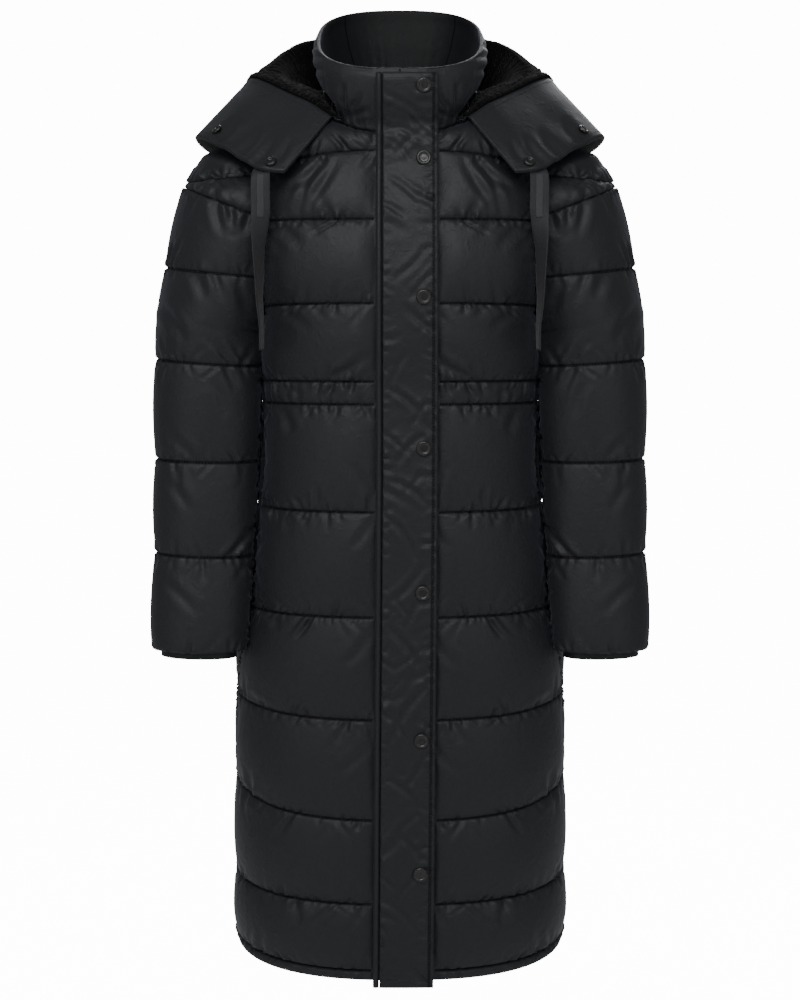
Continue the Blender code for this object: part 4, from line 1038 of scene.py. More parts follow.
def snap_place(z):
    """Centre and direction of a snap cap on the flap at a height."""
    x = SNAP_X + float(flap_shift(z))
    reach = SNAP_PROFILE[0][0] / MILLIMETRES
    depths = [float(centre_depth(x, z + step)) for step in (reach, 0, -reach)]
    slope_x = float(centre_depth(x + reach, z) - centre_depth(x - reach, z)) / (2 * reach)
    out = unit(np.array([-slope_x, -1.0, -(depths[0] - depths[2]) / (2 * reach)]))
    depth = max(depths[1], (depths[0] + depths[2]) / 2) + FLAP_FAR + SEAM_GAP
    return np.array([x, -depth, z]), out


def disc_rings(centre, axis, profile):
    """Rings of a disc turned about an axis, from (radius, height) pairs in millimetres."""
    side = unit(np.cross(axis, np.array([0, 0, 1.0])))
    up = np.cross(side, axis)
    turns = np.arange(SNAP_SIDES) * 2 * math.pi / SNAP_SIDES
    circle = np.cos(turns)[:, None] * side + np.sin(turns)[:, None] * up
    pairs = np.array(profile) / MILLIMETRES
    return np.array([centre + circle * radius + axis * height for radius, height in pairs])


# ---- hood

# Sections of the opened hood from the wing in front to the centre back, on the wearer's right.
# Each runs from the neck, at turn_deg around it, down into the pouch and up its far side to the
# crest, and then out over the shoulder to the lining's seam and the edge.
HOOD = Table(
    "turn_deg near_x near_y near_z low_x low_y low_z far_x far_y far_z"
    " crest_x crest_y crest_z seam_x seam_y seam_z edge_x edge_y edge_z",
    [
        (50, -74, -76, 4, -76, -77, 5, -78, -79, 6, -81, -81, 7, -84, -83, 8, -145, -130, -67),
        (65, -87, -57, 14, -92, -59, 17, -98, -60, 20, -104, -61, 22, -112, -62, 23, -179, -121, -62),
        (84, -103, -26, 28, -116, -24, 33, -129, -21, 37, -141, -17, 40, -152, -13, 41, -222, -78, -37),
        (100, -107, 8, 36, -127, 16, 42, -150, 26, 50, -174, 36, 58, -194, 44, 60, -262, -32, -19),
        (120, -95, 62, 34, -120, 90, 30, -150, 96, 56, -162, 88, 86, -204, 108, 50, -250, 60, -36),
        (145, -64, 124, 12, -84, 162, -48, -112, 174, 40, -130, 122, 108, -164, 172, 72, -192, 156, -30),
        (165, -32, 132, 6, -42, 176, -105, -62, 206, 20, -70, 152, 118, -86, 208, 86, -100, 218, -14),
        (180, 0, 134, 4, 0, 180, -125, 0, 214, 10, 0, 158, 122, 0, 216, 90, 0, 230, -8),
    ],
)
HOOD_POINTS = ("near", "low", "far", "crest", "seam", "edge")
HOOD_NECK_OUT = 0.0050
HOOD_NECK_UP = 0.004
HOOD_U = (0, 0.5, 1, 1.5, 2, 2.6, 3, 3.5, 4, 4.5, 5, 5.5, 6, 6.5, 7)
HOOD_V = (0, 0.12, 0.5, 1, 1.5, 2, 2.5, 3, 3.5, 4, 4.5, 4.992, 5.008, 5.5, 6)
LINING_ROWS = slice(1, 12)
FACING_ROWS = slice(12, 15)
HOOD_CLEAR_REACH = 0.02
HOOD_CLEAR = (0.0019, 0.0042, 0.0044)
HOOD_CLEAR_COLLAR = (0.0028, 0.0070, 0.0105)
HOOD_EVEN_ROUNDS = 14
HOOD_EVEN_TO = 2.6
HOOD_EASE_ROUNDS = 12
HOOD_SHELL_WALL = 0.002
LINING_NEAR = 0.0028
LINING_THIN = 0.0036
LINING_FAR = 0.0080
LINING_RISE = 0.035
LINING_FULL_FROM = 2.0
FACING_FAR = 0.0044
HOOD_SLACK = 0.0016
HOOD_STEP = 0.05
ROUGH_ROWS = 31
ROUGH_COLUMNS = 41
SOCKETS = ((2.47, 5.86), (0.68, 5.88))
TAPE_U = 0.92
TAPE_START_V = (5.86, 5.97)
TAPE_WIDTH = 0.024
TAPE_THICK = 0.0016
TAPE_DROP = 0.0021
TAPE_STATIONS = Table(
    "z x y twist_deg",
    [
        (-75, -175.7, -123.5, 0),
        (-110, -175.7, -123, 6),
        (-128, -176.6, -122.7, 24),
        (-160, -178.6, -122.4, 52),
        (-195, -178.2, -121.8, 64),
        (-227, -178, -121.4, 73),
        (-259, -175.8, -121, 79),
        (-289, -176.3, -121, 83),
    ],
)


def catmull_rom(controls, at):
    """Points of a smooth curve through controls (along the first axis) at places from 0."""
    controls = np.asarray(controls, dtype=float)
    padded = np.concatenate(
        [2 * controls[:1] - controls[1:2], controls, 2 * controls[-1:] - controls[-2:-1]]
    )
    at = np.asarray(at, dtype=float)
    index = np.clip(np.floor(at).astype(int), 0, len(controls) - 2)
    t = (at - index).reshape((-1,) + (1,) * (controls.ndim - 1))
    a, b, c, d = (padded[index + i] for i in range(4))
    return 0.5 * (
        2 * b + (c - a) * t + (2 * a - 5 * b + 4 * c - d) * t**2 + (3 * b - a - 3 * c + d) * t**3
    )


def hermite(points, keys, at):
    """Points of a cubic curve through points (along the first axis) at uneven keys, with
    central slopes."""
    keys, at = np.asarray(keys, dtype=float), np.asarray(at, dtype=float)
    slopes = np.gradient(points, keys, axis=0)
    index = np.clip(np.searchsorted(keys, at, side="right") - 1, 0, len(keys) - 2)
    step = (keys[index + 1] - keys[index]).reshape((-1,) + (1,) * (points.ndim - 1))
    t = (at - keys[index]).reshape(step.shape) / step
    leaving, arriving = slopes[index] * step, slopes[index + 1] * step
    return cubic(points[index], leaving, points[index + 1], arriving, t)


def hood_surface(u, v):
    """Points of the hood's underside at places u around it and v from the neck, with their
    directions towards the lining."""
    turns = np.radians(HOOD.column("turn_deg"))
    columns = [neck_loop(turns, 0.0, HOOD_NECK_OUT) + np.array([0, 0, HOOD_NECK_UP])]
    for point in HOOD_POINTS:
        columns.append(np.stack([HOOD.column(f"{point}_{axis}") for axis in "xyz"], axis=1))
    right = np.stack(columns, axis=1)
    controls = np.concatenate([right, mirrored(right)[-2::-1]])
    step = HOOD_STEP

    def points(u_at, v_at):
        around = catmull_rom(controls, np.clip(u_at, 0, len(controls) - 1))
        return catmull_rom(np.swapaxes(around, 0, 1), np.clip(v_at, 0, controls.shape[1] - 1))

    down = points(u, v + step) - points(u, v - step)
    across = points(u + step, v) - points(u - step, v)
    return points(u, v), unit(np.cross(across, down))


def solid_tree(name):
    """A search tree over one solid's triangles."""
    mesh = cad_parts[name].data
    points = [vertex.co[:] for vertex in mesh.vertices]
    return BVHTree.FromPolygons(points, [tuple(face.vertices) for face in mesh.polygons])


def stand_clear(points, solids):
    """Moves rows of points out of neighbouring solids. solids pairs each solid's tree with the
    clearances of the first rows, the last of which holds for all that follow."""
    moved = np.array(points)
    for index in np.ndindex(moved.shape[:-1]):
        place = Vector(moved[index])
        for tree, clearances in solids:
            nearest, normal, _, distance = tree.find_nearest(place)
            if distance < HOOD_CLEAR_REACH:
                clearance = clearances[min(index[0], len(clearances) - 1)]
                place += normal * max(0.0, clearance - (place - nearest).dot(normal))
        moved[index] = place
    return moved


def evened(points, places):
    """Moves the inner rows halfway to where their places say they belong between the rows on
    either side, most towards the front, where the pouch closes up."""
    share = ((places[1:-1] - places[:-2]) / (places[2:] - places[:-2]))[:, None, None]
    middle = points[:-2] + (points[2:] - points[:-2]) * share
    amount = np.clip(1 - np.array(HOOD_U) / HOOD_EVEN_TO, 0, 1)[None, :, None]
    moved = points.copy()
    moved[1:-1] += (middle - points[1:-1]) * 0.5 * amount
    return moved


def hood_directions(grid):
    """Directions from the hood's underside towards its lining, eased from point to point so
    that what is raised along them never crosses itself."""
    up = -grid_normals(grid)
    for _ in range(HOOD_EASE_ROUNDS):
        eased = up.copy()
        eased[1:-1] += up[2:] + up[:-2]
        eased[:, 1:-1] += up[:, 2:] + up[:, :-2]
        up = unit(eased)
    return up


def hood_grid(u_cells, v_at):
    """The hood's underside from the right wing to the left, standing clear of the pieces it
    lies on, at fine places, with its directions towards the lining and the places u."""
    u_keys, v_keys = np.array(HOOD_U, dtype=float), np.array(HOOD_V, dtype=float)
    grid, _ = hood_surface(u_keys, v_keys)
    solids = [
        (solid_tree("collar"), HOOD_CLEAR_COLLAR),
        (solid_tree("back"), HOOD_CLEAR),
        (solid_tree("front_right"), HOOD_CLEAR),
    ]
    for _ in range(HOOD_EVEN_ROUNDS):
        grid = evened(stand_clear(grid, solids * 2), v_keys)
    grid = stand_clear(grid, solids * 3)
    grid[:, -1, 0] = 0.0
    keys = np.concatenate([u_keys, 2 * u_keys[-1] - u_keys[-2::-1]])
    grid = np.concatenate([grid, mirrored(grid)[:, -2::-1]], axis=1)
    up = hood_directions(grid)
    right = between(u_keys, places(u_cells))
    u_at = np.concatenate([right, 2 * right[-1] - right[-2::-1]])
    both = np.concatenate([grid, up], axis=2)
    both = hermite(both, v_keys, v_at)
    both = hermite(np.swapaxes(both, 0, 1), keys, u_at)
    both = np.swapaxes(both, 0, 1)
    return both[..., :3], unit(both[..., 3:]), u_at


def hood_point(u, v):
    """One point of the hood's underside and its direction towards the lining."""
    grid, up = hood_surface(np.array([float(u)]), np.array([float(v)]))
    return grid[0, 0], up[0, 0]


SHELL_U_CELLS = (10, 10, 9, 8, 8, 8, 8, 8, 8, 8, 8, 8, 8, 7)
PILE_U_CELLS = (20, 20, 18, 16, 18, 14, 16, 16, 16, 16, 16, 16, 16, 14)
SHELL_V_CELLS = (2, 4, 6, 8, 10, 12, 12, 12, 12, 12, 12, 2, 14, 14)
PILE_V_CELLS = (4, 8, 12, 18, 22, 22, 22, 20, 20, 22)
CURL_SIZE = 0.0048
CURL_HEIGHT = 0.0030
CURL_LATTICE = 512
FINE_CURL = 0.55
FINE_CURL_HEIGHT = 0.4
PILE_THINNEST = 0.0006
PILE_DEEP = 0.002


def curls(places_on_cloth, size, seed):
    """Heights from 0 to 1 of small round tufts: one at a random point of each cell of a square
    lattice on the cloth, each as high and wide as chance has it; the highest one shows."""
    chance = np.random.default_rng(seed)
    lattice = (CURL_LATTICE, CURL_LATTICE)
    jitter = chance.uniform(0.12, 0.88, (*lattice, 2))
    tall = chance.uniform(0.45, 1.0, lattice)
    cell = np.floor(places_on_cloth / size).astype(int)
    height = np.zeros(places_on_cloth.shape[:-1])
    for i in (-1, 0, 1):
        for j in (-1, 0, 1):
            column, row = (cell[..., 0] + i) % CURL_LATTICE, (cell[..., 1] + j) % CURL_LATTICE
            centre = (cell + (i, j) + jitter[row, column]) * size
            away = np.linalg.norm(places_on_cloth - centre, axis=-1) / (size * 0.80)
            height = np.maximum(height, tall[row, column] * (1 - np.clip(away, 0, 1) ** 2) ** 0.5)
    return height


def hood_layer(u_cells, v_cells, rows):
    """One layer of the hood at fine places: its underside with the soft folds that all layers
    share, its directions, the places around it and the distance of each point from the neck."""
    v_keys = np.array(HOOD_V, dtype=float)
    v_at = between(v_keys[rows], places(v_cells))
    grid, up, u_at = hood_grid(u_cells, v_at)
    height = noise_field(ROUGH_ROWS, ROUGH_COLUMNS, (3, 6), 23)
    v_share, u_share = v_at / v_keys[-1] * (ROUGH_ROWS - 1), u_at / u_at[-1]
    u_share = np.minimum(u_share, 1 - u_share) * 2 * (ROUGH_COLUMNS - 1)
    rough = np.stack([between(line, u_share) for line in height])
    rough = np.stack([between(line, v_share) for line in rough.T], axis=1)
    loose = np.clip(np.minimum(v_at / 1.5, (v_keys[-1] - v_at) / 0.5), 0, 1)[:, None]
    grid = grid + up * (rough * loose * HOOD_SLACK)[..., None]
    flat = np.stack([np.abs(grid[..., 0]), grid[..., 2]], axis=-1)
    for folds, near_y, far_y in ((WING_FOLDS, 0.05, 0.0), (POUCH_FOLDS, 0.12, 0.17)):
        share = np.clip((grid[..., 1] - near_y) / (far_y - near_y), 0, 1)
        grid = creased(grid, up * share[..., None], flat, folds)
    return grid, up, u_at


def lining_points():
    """Under and upper points of the sherpa: its pile thins towards the neck and the front, and
    round tufts stand on it."""
    grid, up, u_at = hood_layer(PILE_U_CELLS, PILE_V_CELLS, LINING_ROWS)
    from_neck = np.linalg.norm(grid - grid[:1], axis=2)
    away = np.minimum(u_at, 2 * HOOD_U[-1] - u_at)[None, :]
    fuller = (LINING_FAR - LINING_THIN) * rise(away, LINING_FULL_FROM)
    pile = LINING_THIN + fuller * rise(from_neck, LINING_RISE)
    across = np.concatenate(
        [np.zeros((len(grid), 1)), np.cumsum(np.linalg.norm(np.diff(grid, axis=1), axis=2), 1)], 1
    )
    down = np.cumsum(np.linalg.norm(np.diff(grid, axis=0, prepend=grid[:1]), axis=2), 0)
    on_cloth = np.stack([across, down], axis=-1)
    tufts = curls(on_cloth, CURL_SIZE, 5)
    tufts = tufts + FINE_CURL_HEIGHT * curls(on_cloth, CURL_SIZE * FINE_CURL, 6)
    edge = np.ones(grid.shape[:2])
    edge[[0, -1]] = edge[:, [0, -1]] = 0
    thick = np.maximum(pile - LINING_NEAR, PILE_THINNEST)
    raised = pile - CURL_HEIGHT * 0.5 * np.clip(thick / CURL_HEIGHT, 0, 1)
    tufts = tufts * CURL_HEIGHT * np.clip(thick / PILE_DEEP, 0.2, 1) * (0.3 + 0.7 * edge)
    return grid + up * LINING_NEAR, grid + up * (raised + tufts)[..., None]


# ---- tapes, pockets and stitches

TAPE_CELLS = 12
TAPE_STRIP = (-0.068, -0.122)
TAPE_STRIP_WIDTH = 0.0085
TAPE_STRIP_THICK = 0.0007
TAPE_STRIP_OUT = 0.0003


def tape_line():
    """Centres, sideways and thickness directions along a drawstring tape, from under the wing's
    edge to its free end, which hangs edge on."""
    start, start_across = [], []
    for v in TAPE_START_V:
        under, up = hood_point(TAPE_U, v)
        start.append(under - up * (TAPE_THICK / 2 + TAPE_DROP))
        start_across.append(unit(hood_point(TAPE_U - 0.1, v)[0] - hood_point(TAPE_U + 0.1, v)[0]))
    hanging = np.stack([TAPE_STATIONS.column(axis) for axis in "xyz"], axis=1)
    twist = np.radians(TAPE_STATIONS.column("twist_deg"))[:, None]
    turned_across = np.array([1.0, 0, 0]) * np.cos(twist) + np.array([0, 1.0, 0]) * np.sin(twist)
    rough = np.concatenate([start, hanging])
    across = np.concatenate([start_across, turned_across])
    at = places((TAPE_CELLS,) * (len(rough) - 1))
    centres, across = catmull_rom(rough, at), catmull_rom(across, at)
    along = unit(np.gradient(centres, axis=0))
    across = unit(across - along * (across * along).sum(axis=1, keepdims=True))
    return centres, across, np.cross(across, along)


def ribbon(centres, across, thick, width, height):
    """Rings of a flat ribbon with rounded edges."""
    half, edge = width / 2, height / 2
    bow = np.linspace(-math.pi / 2, math.pi / 2, 5)
    ends = [(half - edge + edge * math.cos(a), edge * math.sin(a)) for a in bow]
    flat = [(half * part, edge) for part in (0.6, 0.2, -0.2, -0.6)]
    section_points = ends + flat + [(-x, -y) for x, y in ends] + [(-x, -y) for x, y in flat]
    return np.stack([centres + across * x + thick * y for x, y in section_points], axis=1)


POCKET_TOP_Z = -0.400
POCKET_BOTTOM_Z = -0.590
POCKET_NEAR = 0.0006
POCKET_WALL = 0.0016
POCKET_ROLL = 0.0012


def pocket_lip():
    """Under and upper points of a pocket lip: a soft roll beside the side seam."""
    base, outs, lofts, _ = body_panel(False, 0.0, BACK_CELLS)
    side_z = base[:, -1, 2]
    rows = np.flatnonzero((side_z < POCKET_TOP_Z) & (side_z > POCKET_BOTTOM_Z))
    rows = rows[: (len(rows) - 1) // 4 * 4 + 1]
    last = slice(-BACK_CELLS[-1] - 1, None)
    patch, out = base[rows][:, last], outs[rows][:, last]
    near = patch + out * (lofts[rows][:, last, None] + POCKET_NEAR)
    share = np.linspace(-1, 1, patch.shape[1])
    roll = (1 - share**2)[None, :, None] * POCKET_ROLL
    return near[:, ::-1], (near + out * (POCKET_WALL - POCKET_NEAR + roll))[:, ::-1]


STITCH_PITCH = 0.0040
STITCH_LENGTH = 0.0031
STITCH_RADIUS = 0.00030


def stitches(lines):
    """Points and faces of the stitches along seams. lines are (points, outward directions) of
    seams; each stitch is a short thread with pointed ends, half sunk in the cloth."""
    ring = np.arange(4) * math.pi / 2
    shape = [(-0.5, 0.0)] + [(-0.3, 1.0)] * 4 + [(0.3, 1.0)] * 4 + [(0.5, 0.0)]
    ahead_by = np.array([at for at, _ in shape]) * STITCH_LENGTH
    wide = np.array([size for _, size in shape]) * STITCH_RADIUS
    turn = np.concatenate([[0], ring, ring, [0]])
    every = []
    for points, outs in lines:
        along = travelled(points)
        at = np.arange(STITCH_PITCH / 2, along[-1] - STITCH_PITCH / 2, STITCH_PITCH)
        centre, out = at_distances(points, at), unit(at_distances(points, at, outs))
        step = at_distances(points, at + 0.001) - at_distances(points, at - 0.001)
        ahead = unit(step)
        side = np.cross(out, ahead)
        every.append(
            (centre + out * STITCH_RADIUS * 0.6)[:, None]
            + ahead[:, None] * ahead_by[:, None]
            + side[:, None] * (np.cos(turn) * wide)[:, None]
            + out[:, None] * (np.sin(turn) * wide)[:, None]
        )
    every = np.concatenate(every)
    one = [(0, 1 + (i + 1) % 4, 1 + i) for i in range(4)]
    one += [(1 + i, 1 + (i + 1) % 4, 5 + (i + 1) % 4) for i in range(4)]
    one += [(1 + i, 5 + (i + 1) % 4, 5 + i) for i in range(4)]
    one += [(9, 5 + i, 5 + (i + 1) % 4) for i in range(4)]
    faces = (np.array(one)[None] + np.arange(len(every))[:, None, None] * len(shape)).reshape(-1, 3)
    return every.reshape(-1, 3), faces.tolist()


# ---- listed folds laid in

# Folds are (x0, z0, x1, z1, width, depth, bow) in millimetres, on the wearer's right. The left
# has the same ones mirrored.
FRONT_FOLDS = [
    (-88, -35, -142, -88, 6, 3.2, 6), (-98, -28, -150, -70, 5.5, 2.6, 4),
    (-78, -44, -120, -112, 6, 2.6, 4), (-100, -55, -128, -122, 5, 2.4, -4),
    (-158, -128, -120, -160, 6, 2, 2), (-138, -222, -140, -248, 4, 2.2, 0),
    (-150, -240, -110, -262, 5.5, 1.8, 2), (-40, -292, -84, -322, 5.5, 2.6, 3),
    (-52, -304, -96, -326, 5, 2, 2), (-154, -366, -134, -396, 6, 3, 3),
    (-176, -372, -150, -384, 5, 2.2, 0), (-160, -336, -122, -346, 4.5, 1.6, 2),
    (-180, -486, -150, -512, 6, 2.6, 2), (-186, -500, -160, -480, 5, 2.2, 0),
    (-60, -430, -36, -490, 6, 1.6, 3), (-36, -500, -60, -540, 5.5, 1.8, 2),
    (-190, -620, -150, -650, 6, 1.8, 4), (-36, -640, -70, -690, 6, 1.8, 4),
    (-200, -742, -160, -770, 6, 2, 3), (-40, -790, -80, -830, 6, 1.6, 4),
    (-205, -872, -160, -900, 6, 2, 3),
]
BACK_FOLDS = [
    (-30, -130, -110, -200, 7, 2.4, 6), (-150, -140, -110, -180, 6, 2.2, 4),
    (-60, -245, -120, -300, 7, 2.2, 6), (-20, -300, -70, -322, 5.5, 2.2, 3),
    (-150, -366, -120, -396, 6, 2.8, 3), (-80, -370, -60, -402, 5.5, 2.2, 2),
    (-20, -372, -26, -410, 5.5, 2.2, 0), (-160, -505, -110, -560, 6.5, 1.8, 4),
    (-40, -520, -90, -600, 6.5, 1.8, 6), (-180, -650, -130, -700, 6.5, 1.8, 4),
    (-60, -780, -110, -840, 6.5, 1.8, 4),
]
# Folds of a sleeve's front half and back half.
SLEEVE_FRONT_FOLDS = [
    (-268, -50, -206, -66, 5.5, 3, -3), (-238, -60, -222, -86, 4.5, 3, 2),
    (-238, -86, -222, -146, 6, 3.4, -2), (-276, -180, -248, -226, 6.5, 2.8, 4),
    (-312, -230, -274, -282, 6.5, 2.8, 4), (-214, -186, -200, -240, 6, 2, 2),
    (-300, -400, -262, -440, 6, 2.2, 4), (-240, -330, -226, -378, 5.5, 1.8, 2),
    (-300, -460, -270, -500, 6, 2, 3), (-306, -590, -262, -630, 6, 2, 3),
]
SLEEVE_BACK_FOLDS = [
    (-262, -80, -222, -120, 6, 2.6, 3), (-300, -220, -250, -280, 6.5, 2.6, 4),
    (-230, -230, -214, -290, 6, 2, 2), (-300, -340, -262, -420, 6.5, 2.2, 4),
    (-296, -470, -256, -520, 6, 2, 3),
]
FLAP_FOLDS = [
    (-18, 30, 26, 6, 3.2, 1.4, 3), (-16, -6, 34, -30, 3.2, 1.8, 4),
    (36, -10, -6, -44, 3.2, 1.8, -4), (-16, -70, 30, -110, 3.6, 1.2, 4),
    (34, -160, -10, -200, 3.6, 1.2, 3), (-16, -336, 30, -372, 3.6, 1.8, 4),
    (34, -392, -4, -432, 3.6, 1.8, -4), (-14, -452, 32, -480, 3.6, 1.6, 4),
    (30, -560, -16, -610, 4, 1.8, 5), (-16, -640, 28, -700, 4, 1.8, 5),
    (30, -720, -12, -790, 4, 1.8, -5), (-18, -836, 24, -872, 3.6, 1.8, 4),
    (26, -880, -14, -926, 3.6, 1.6, -4), (-18, -1000, 24, -1040, 3.6, 1.4, 4),
    (4, 14, 36, -18, 2.2, 1.2, -2), (-12, -24, 12, -52, 2.5, 1.4, 3),
    (10, -290, -14, -336, 2.9, 1.2, -3), (34, -346, 12, -384, 2.5, 1.4, 3),
    (-12, -396, 18, -420, 2.5, 1.4, -3), (28, -440, 4, -470, 2.5, 1.2, 2),
    (-10, -500, 20, -556, 3.2, 1.4, 4), (34, -590, 10, -640, 3.2, 1.4, -3),
    (-12, -600, 12, -632, 2.5, 1.2, 3), (32, -664, -8, -694, 2.9, 1.4, 2),
    (-12, -742, 10, -786, 2.9, 1.4, -3), (34, -800, 6, -850, 3.2, 1.6, 3),
    (-8, -905, 30, -948, 3.2, 1.4, 3), (28, -960, -6, -1000, 3.2, 1.4, -3),
]
COLLAR_FOLDS = [
    (-74, 6, -104, 20, 3.4, 2.2, 1), (-73, 10, -98, 40, 3.4, 2.2, 3),
    (-71, 10, -72, 46, 3.4, 2, 1), (-69, 8, -48, 34, 3.4, 2, -2),
    (-70, 4, -36, 12, 3.4, 1.8, 1), (-116, 100, -86, 90, 3.4, 1.8, 2),
    (-114, 86, -82, 82, 3.2, 1.6, -2), (-116, 70, -94, 60, 3.2, 1.4, 1),
    (-60, 66, -34, 60, 3.4, 1.2, 1),
]
WING_FOLDS = [
    (242, -30, 206, 4, 7, 3, 6), (214, -52, 176, -12, 6.5, 3, 6),
    (186, -60, 156, -22, 5.5, 2.6, 4), (156, -56, 140, -26, 5, 2.2, 2),
]
POUCH_FOLDS = [
    (20, 60, 30, -60, 8, 3, 4), (70, 70, 80, -40, 8, 3, -4),
    (120, 60, 110, -50, 7.5, 2.6, 6),
]


# ---- materials


def node_group(name, inputs, outputs):
    """An empty shader node group with the given (name, socket type, default) sockets."""
    group = bpy.data.node_groups.new(name, "ShaderNodeTree")
    for label, kind, default in inputs:
        socket = group.interface.new_socket(label, in_out="INPUT", socket_type=kind)
        if default is not None:
            socket.default_value = default
    for label, kind in outputs:
        group.interface.new_socket(label, in_out="OUTPUT", socket_type=kind)
    start, end = group.nodes.new("NodeGroupInput"), group.nodes.new("NodeGroupOutput")
    start.location, end.location = (-900, 0), (700, 0)
    return group, start, end


def fill(node, values):
    """Sets sockets, named or numbered, to their values."""
    for socket, value in values.items():
        node.inputs[socket].default_value = value


def add_node(tree, kind, values=(), **settings):
    """A node with its own settings and the values of its sockets, set beside the last one."""
    node = tree.nodes.new(kind)
    node.location = (NODE_STEP * len(tree.nodes), NODE_DROP)
    for name, value in settings.items():
        setattr(node, name, value)
    fill(node, dict(values))
    return node


def join(tree, *links):
    """Links sockets. Each link is (node, its output, next node, its input)."""
    for node, output, follower, socket in links:
        tree.links.new(node.outputs[output], follower.inputs[socket])


def crinkle_group():
    """Normals of thin woven cloth: soft crinkles over a fine, faint weave."""
    group, start, end = node_group(
        "Cloth crinkle",
        [
            ("Place", "NodeSocketVector", None),
            ("Cloth place", "NodeSocketVector", None),
            ("Crinkle size", "NodeSocketFloat", 90.0),
            ("Crinkle", "NodeSocketFloat", 0.35),
            ("Weave", "NodeSocketFloat", 0.06),
        ],
        [("Normal", "NodeSocketVector"), ("Mask", "NodeSocketFloat")],
    )
    broad = add_node(
        group, "ShaderNodeTexNoise", {"Detail": 3.0, "Roughness": 0.55, "Distortion": 0.6}
    )
    ridges = add_node(group, "ShaderNodeMath", {1: 0.5}, operation="PINGPONG")
    soft = add_node(group, "ShaderNodeBump", {"Distance": 0.0016})
    sharp = add_node(group, "ShaderNodeBump", {"Distance": 0.0030}, invert=True)
    threads = {"Scale": WEAVE_SCALE}
    weave = add_node(group, "ShaderNodeTexWave", threads)
    cross = add_node(group, "ShaderNodeTexWave", threads, bands_direction="Y")
    both = add_node(group, "ShaderNodeMath", operation="MULTIPLY")
    fine = add_node(group, "ShaderNodeBump", {"Distance": 0.0002})
    join(
        group,
        (start, "Place", broad, "Vector"),
        (start, "Crinkle size", broad, "Scale"),
        (broad, "Fac", ridges, 0),
        (start, "Crinkle", soft, "Strength"),
        (broad, "Fac", soft, "Height"),
        (start, "Crinkle", sharp, "Strength"),
        (ridges, 0, sharp, "Height"),
        (soft, "Normal", sharp, "Normal"),
        (start, "Cloth place", weave, "Vector"),
        (start, "Cloth place", cross, "Vector"),
        (weave, "Fac", both, 0),
        (cross, "Fac", both, 1),
        (start, "Weave", fine, "Strength"),
        (both, 0, fine, "Height"),
        (sharp, "Normal", fine, "Normal"),
        (fine, "Normal", end, "Normal"),
        (ridges, 0, end, "Mask"),
    )
    return group


def pile_group():
    """Normals and shade of sherpa: fine curled fibres, with painted shade between the tufts."""
    group, start, end = node_group(
        "Sherpa pile",
        [("Place", "NodeSocketVector", None), ("Curl size", "NodeSocketFloat", 520.0)],
        [("Normal", "NodeSocketVector"), ("Shade", "NodeSocketFloat")],
    )
    curl = add_node(group, "ShaderNodeTexVoronoi", feature="SMOOTH_F1")
    fibre = add_node(group, "ShaderNodeTexNoise", {"Scale": 1400.0, "Detail": 2.0})
    blend = add_node(group, "ShaderNodeMath", {1: 0.5}, operation="MULTIPLY_ADD")
    bump = add_node(group, "ShaderNodeBump", {"Strength": 0.9, "Distance": 0.0012}, invert=True)
    join(
        group,
        (start, "Place", curl, "Vector"),
        (start, "Curl size", curl, "Scale"),
        (start, "Place", fibre, "Vector"),
        (fibre, "Fac", blend, 0),
        (curl, "Distance", blend, 2),
        (blend, 0, bump, "Height"),
        (bump, "Normal", end, "Normal"),
        (curl, "Distance", end, "Shade"),
    )
    return group


def shared_group(name, make):
    """A node group by name, made the first time it is asked for."""
    return bpy.data.node_groups.get(name) or make()


def new_material(name, color, roughness, sheen=0.0, specular=0.5):
    """A Principled material with its uniform values set on the sockets."""
    made = bpy.data.materials.new(name)
    made.use_nodes = True
    tree = made.node_tree
    shader = tree.nodes["Principled BSDF"]
    fill(shader, {
        "Base Color": (*color, 1), "Roughness": roughness, "Specular IOR Level": specular,
        "Sheen Weight": sheen, "Sheen Roughness": SHEEN_ROUGHNESS,
    })
    place = add_node(tree, "ShaderNodeTexCoord")
    return made, tree, shader, place


def nylon(name, color, roughness, crinkle, size):
    """Smooth, slightly shiny nylon with soft crinkles, and painted shade in its sewn grooves,
    where it is darker and duller.
    """
    made, tree, shader, place = new_material(
        name, color, roughness, sheen=0.10, specular=NYLON_GLOSS
    )
    fill(shader, {"Sheen Tint": (0.75, 0.82, 1.0, 1.0)})
    relief = add_node(
        tree, "ShaderNodeGroup", {"Crinkle": crinkle, "Crinkle size": size},
        node_tree=shared_group("Cloth crinkle", crinkle_group),
    )
    # Painted shade: where the seam mask is 1 the colour darkens and the reflections weaken.
    seam = add_node(tree, "ShaderNodeAttribute", attribute_name="seam")
    painted_dark = [part * GROOVE_SHADE for part in color]
    groove_and_painted_shade = add_node(tree, "ShaderNodeMix", {"A": (*color, 1), "B": (*painted_dark, 1)}, data_type="RGBA")
    dull = add_node(tree, "ShaderNodeMapRange", {"To Min": NYLON_GLOSS, "To Max": GROOVE_GLOSS})
    worn = add_node(
        tree, "ShaderNodeMapRange", {"To Min": roughness - 0.05, "To Max": roughness + 0.07}
    )
    join(
        tree,
        (place, "Object", relief, "Place"),
        (place, "UV", relief, "Cloth place"),
        (relief, "Normal", shader, "Normal"),
        (seam, "Fac", groove_and_painted_shade, "Factor"),
        (groove_and_painted_shade, "Result", shader, "Base Color"),
        (seam, "Fac", dull, "Value"),
        (dull, "Result", shader, "Specular IOR Level"),
        (relief, "Mask", worn, "Value"),
        (worn, "Result", shader, "Roughness"),
    )
    return made


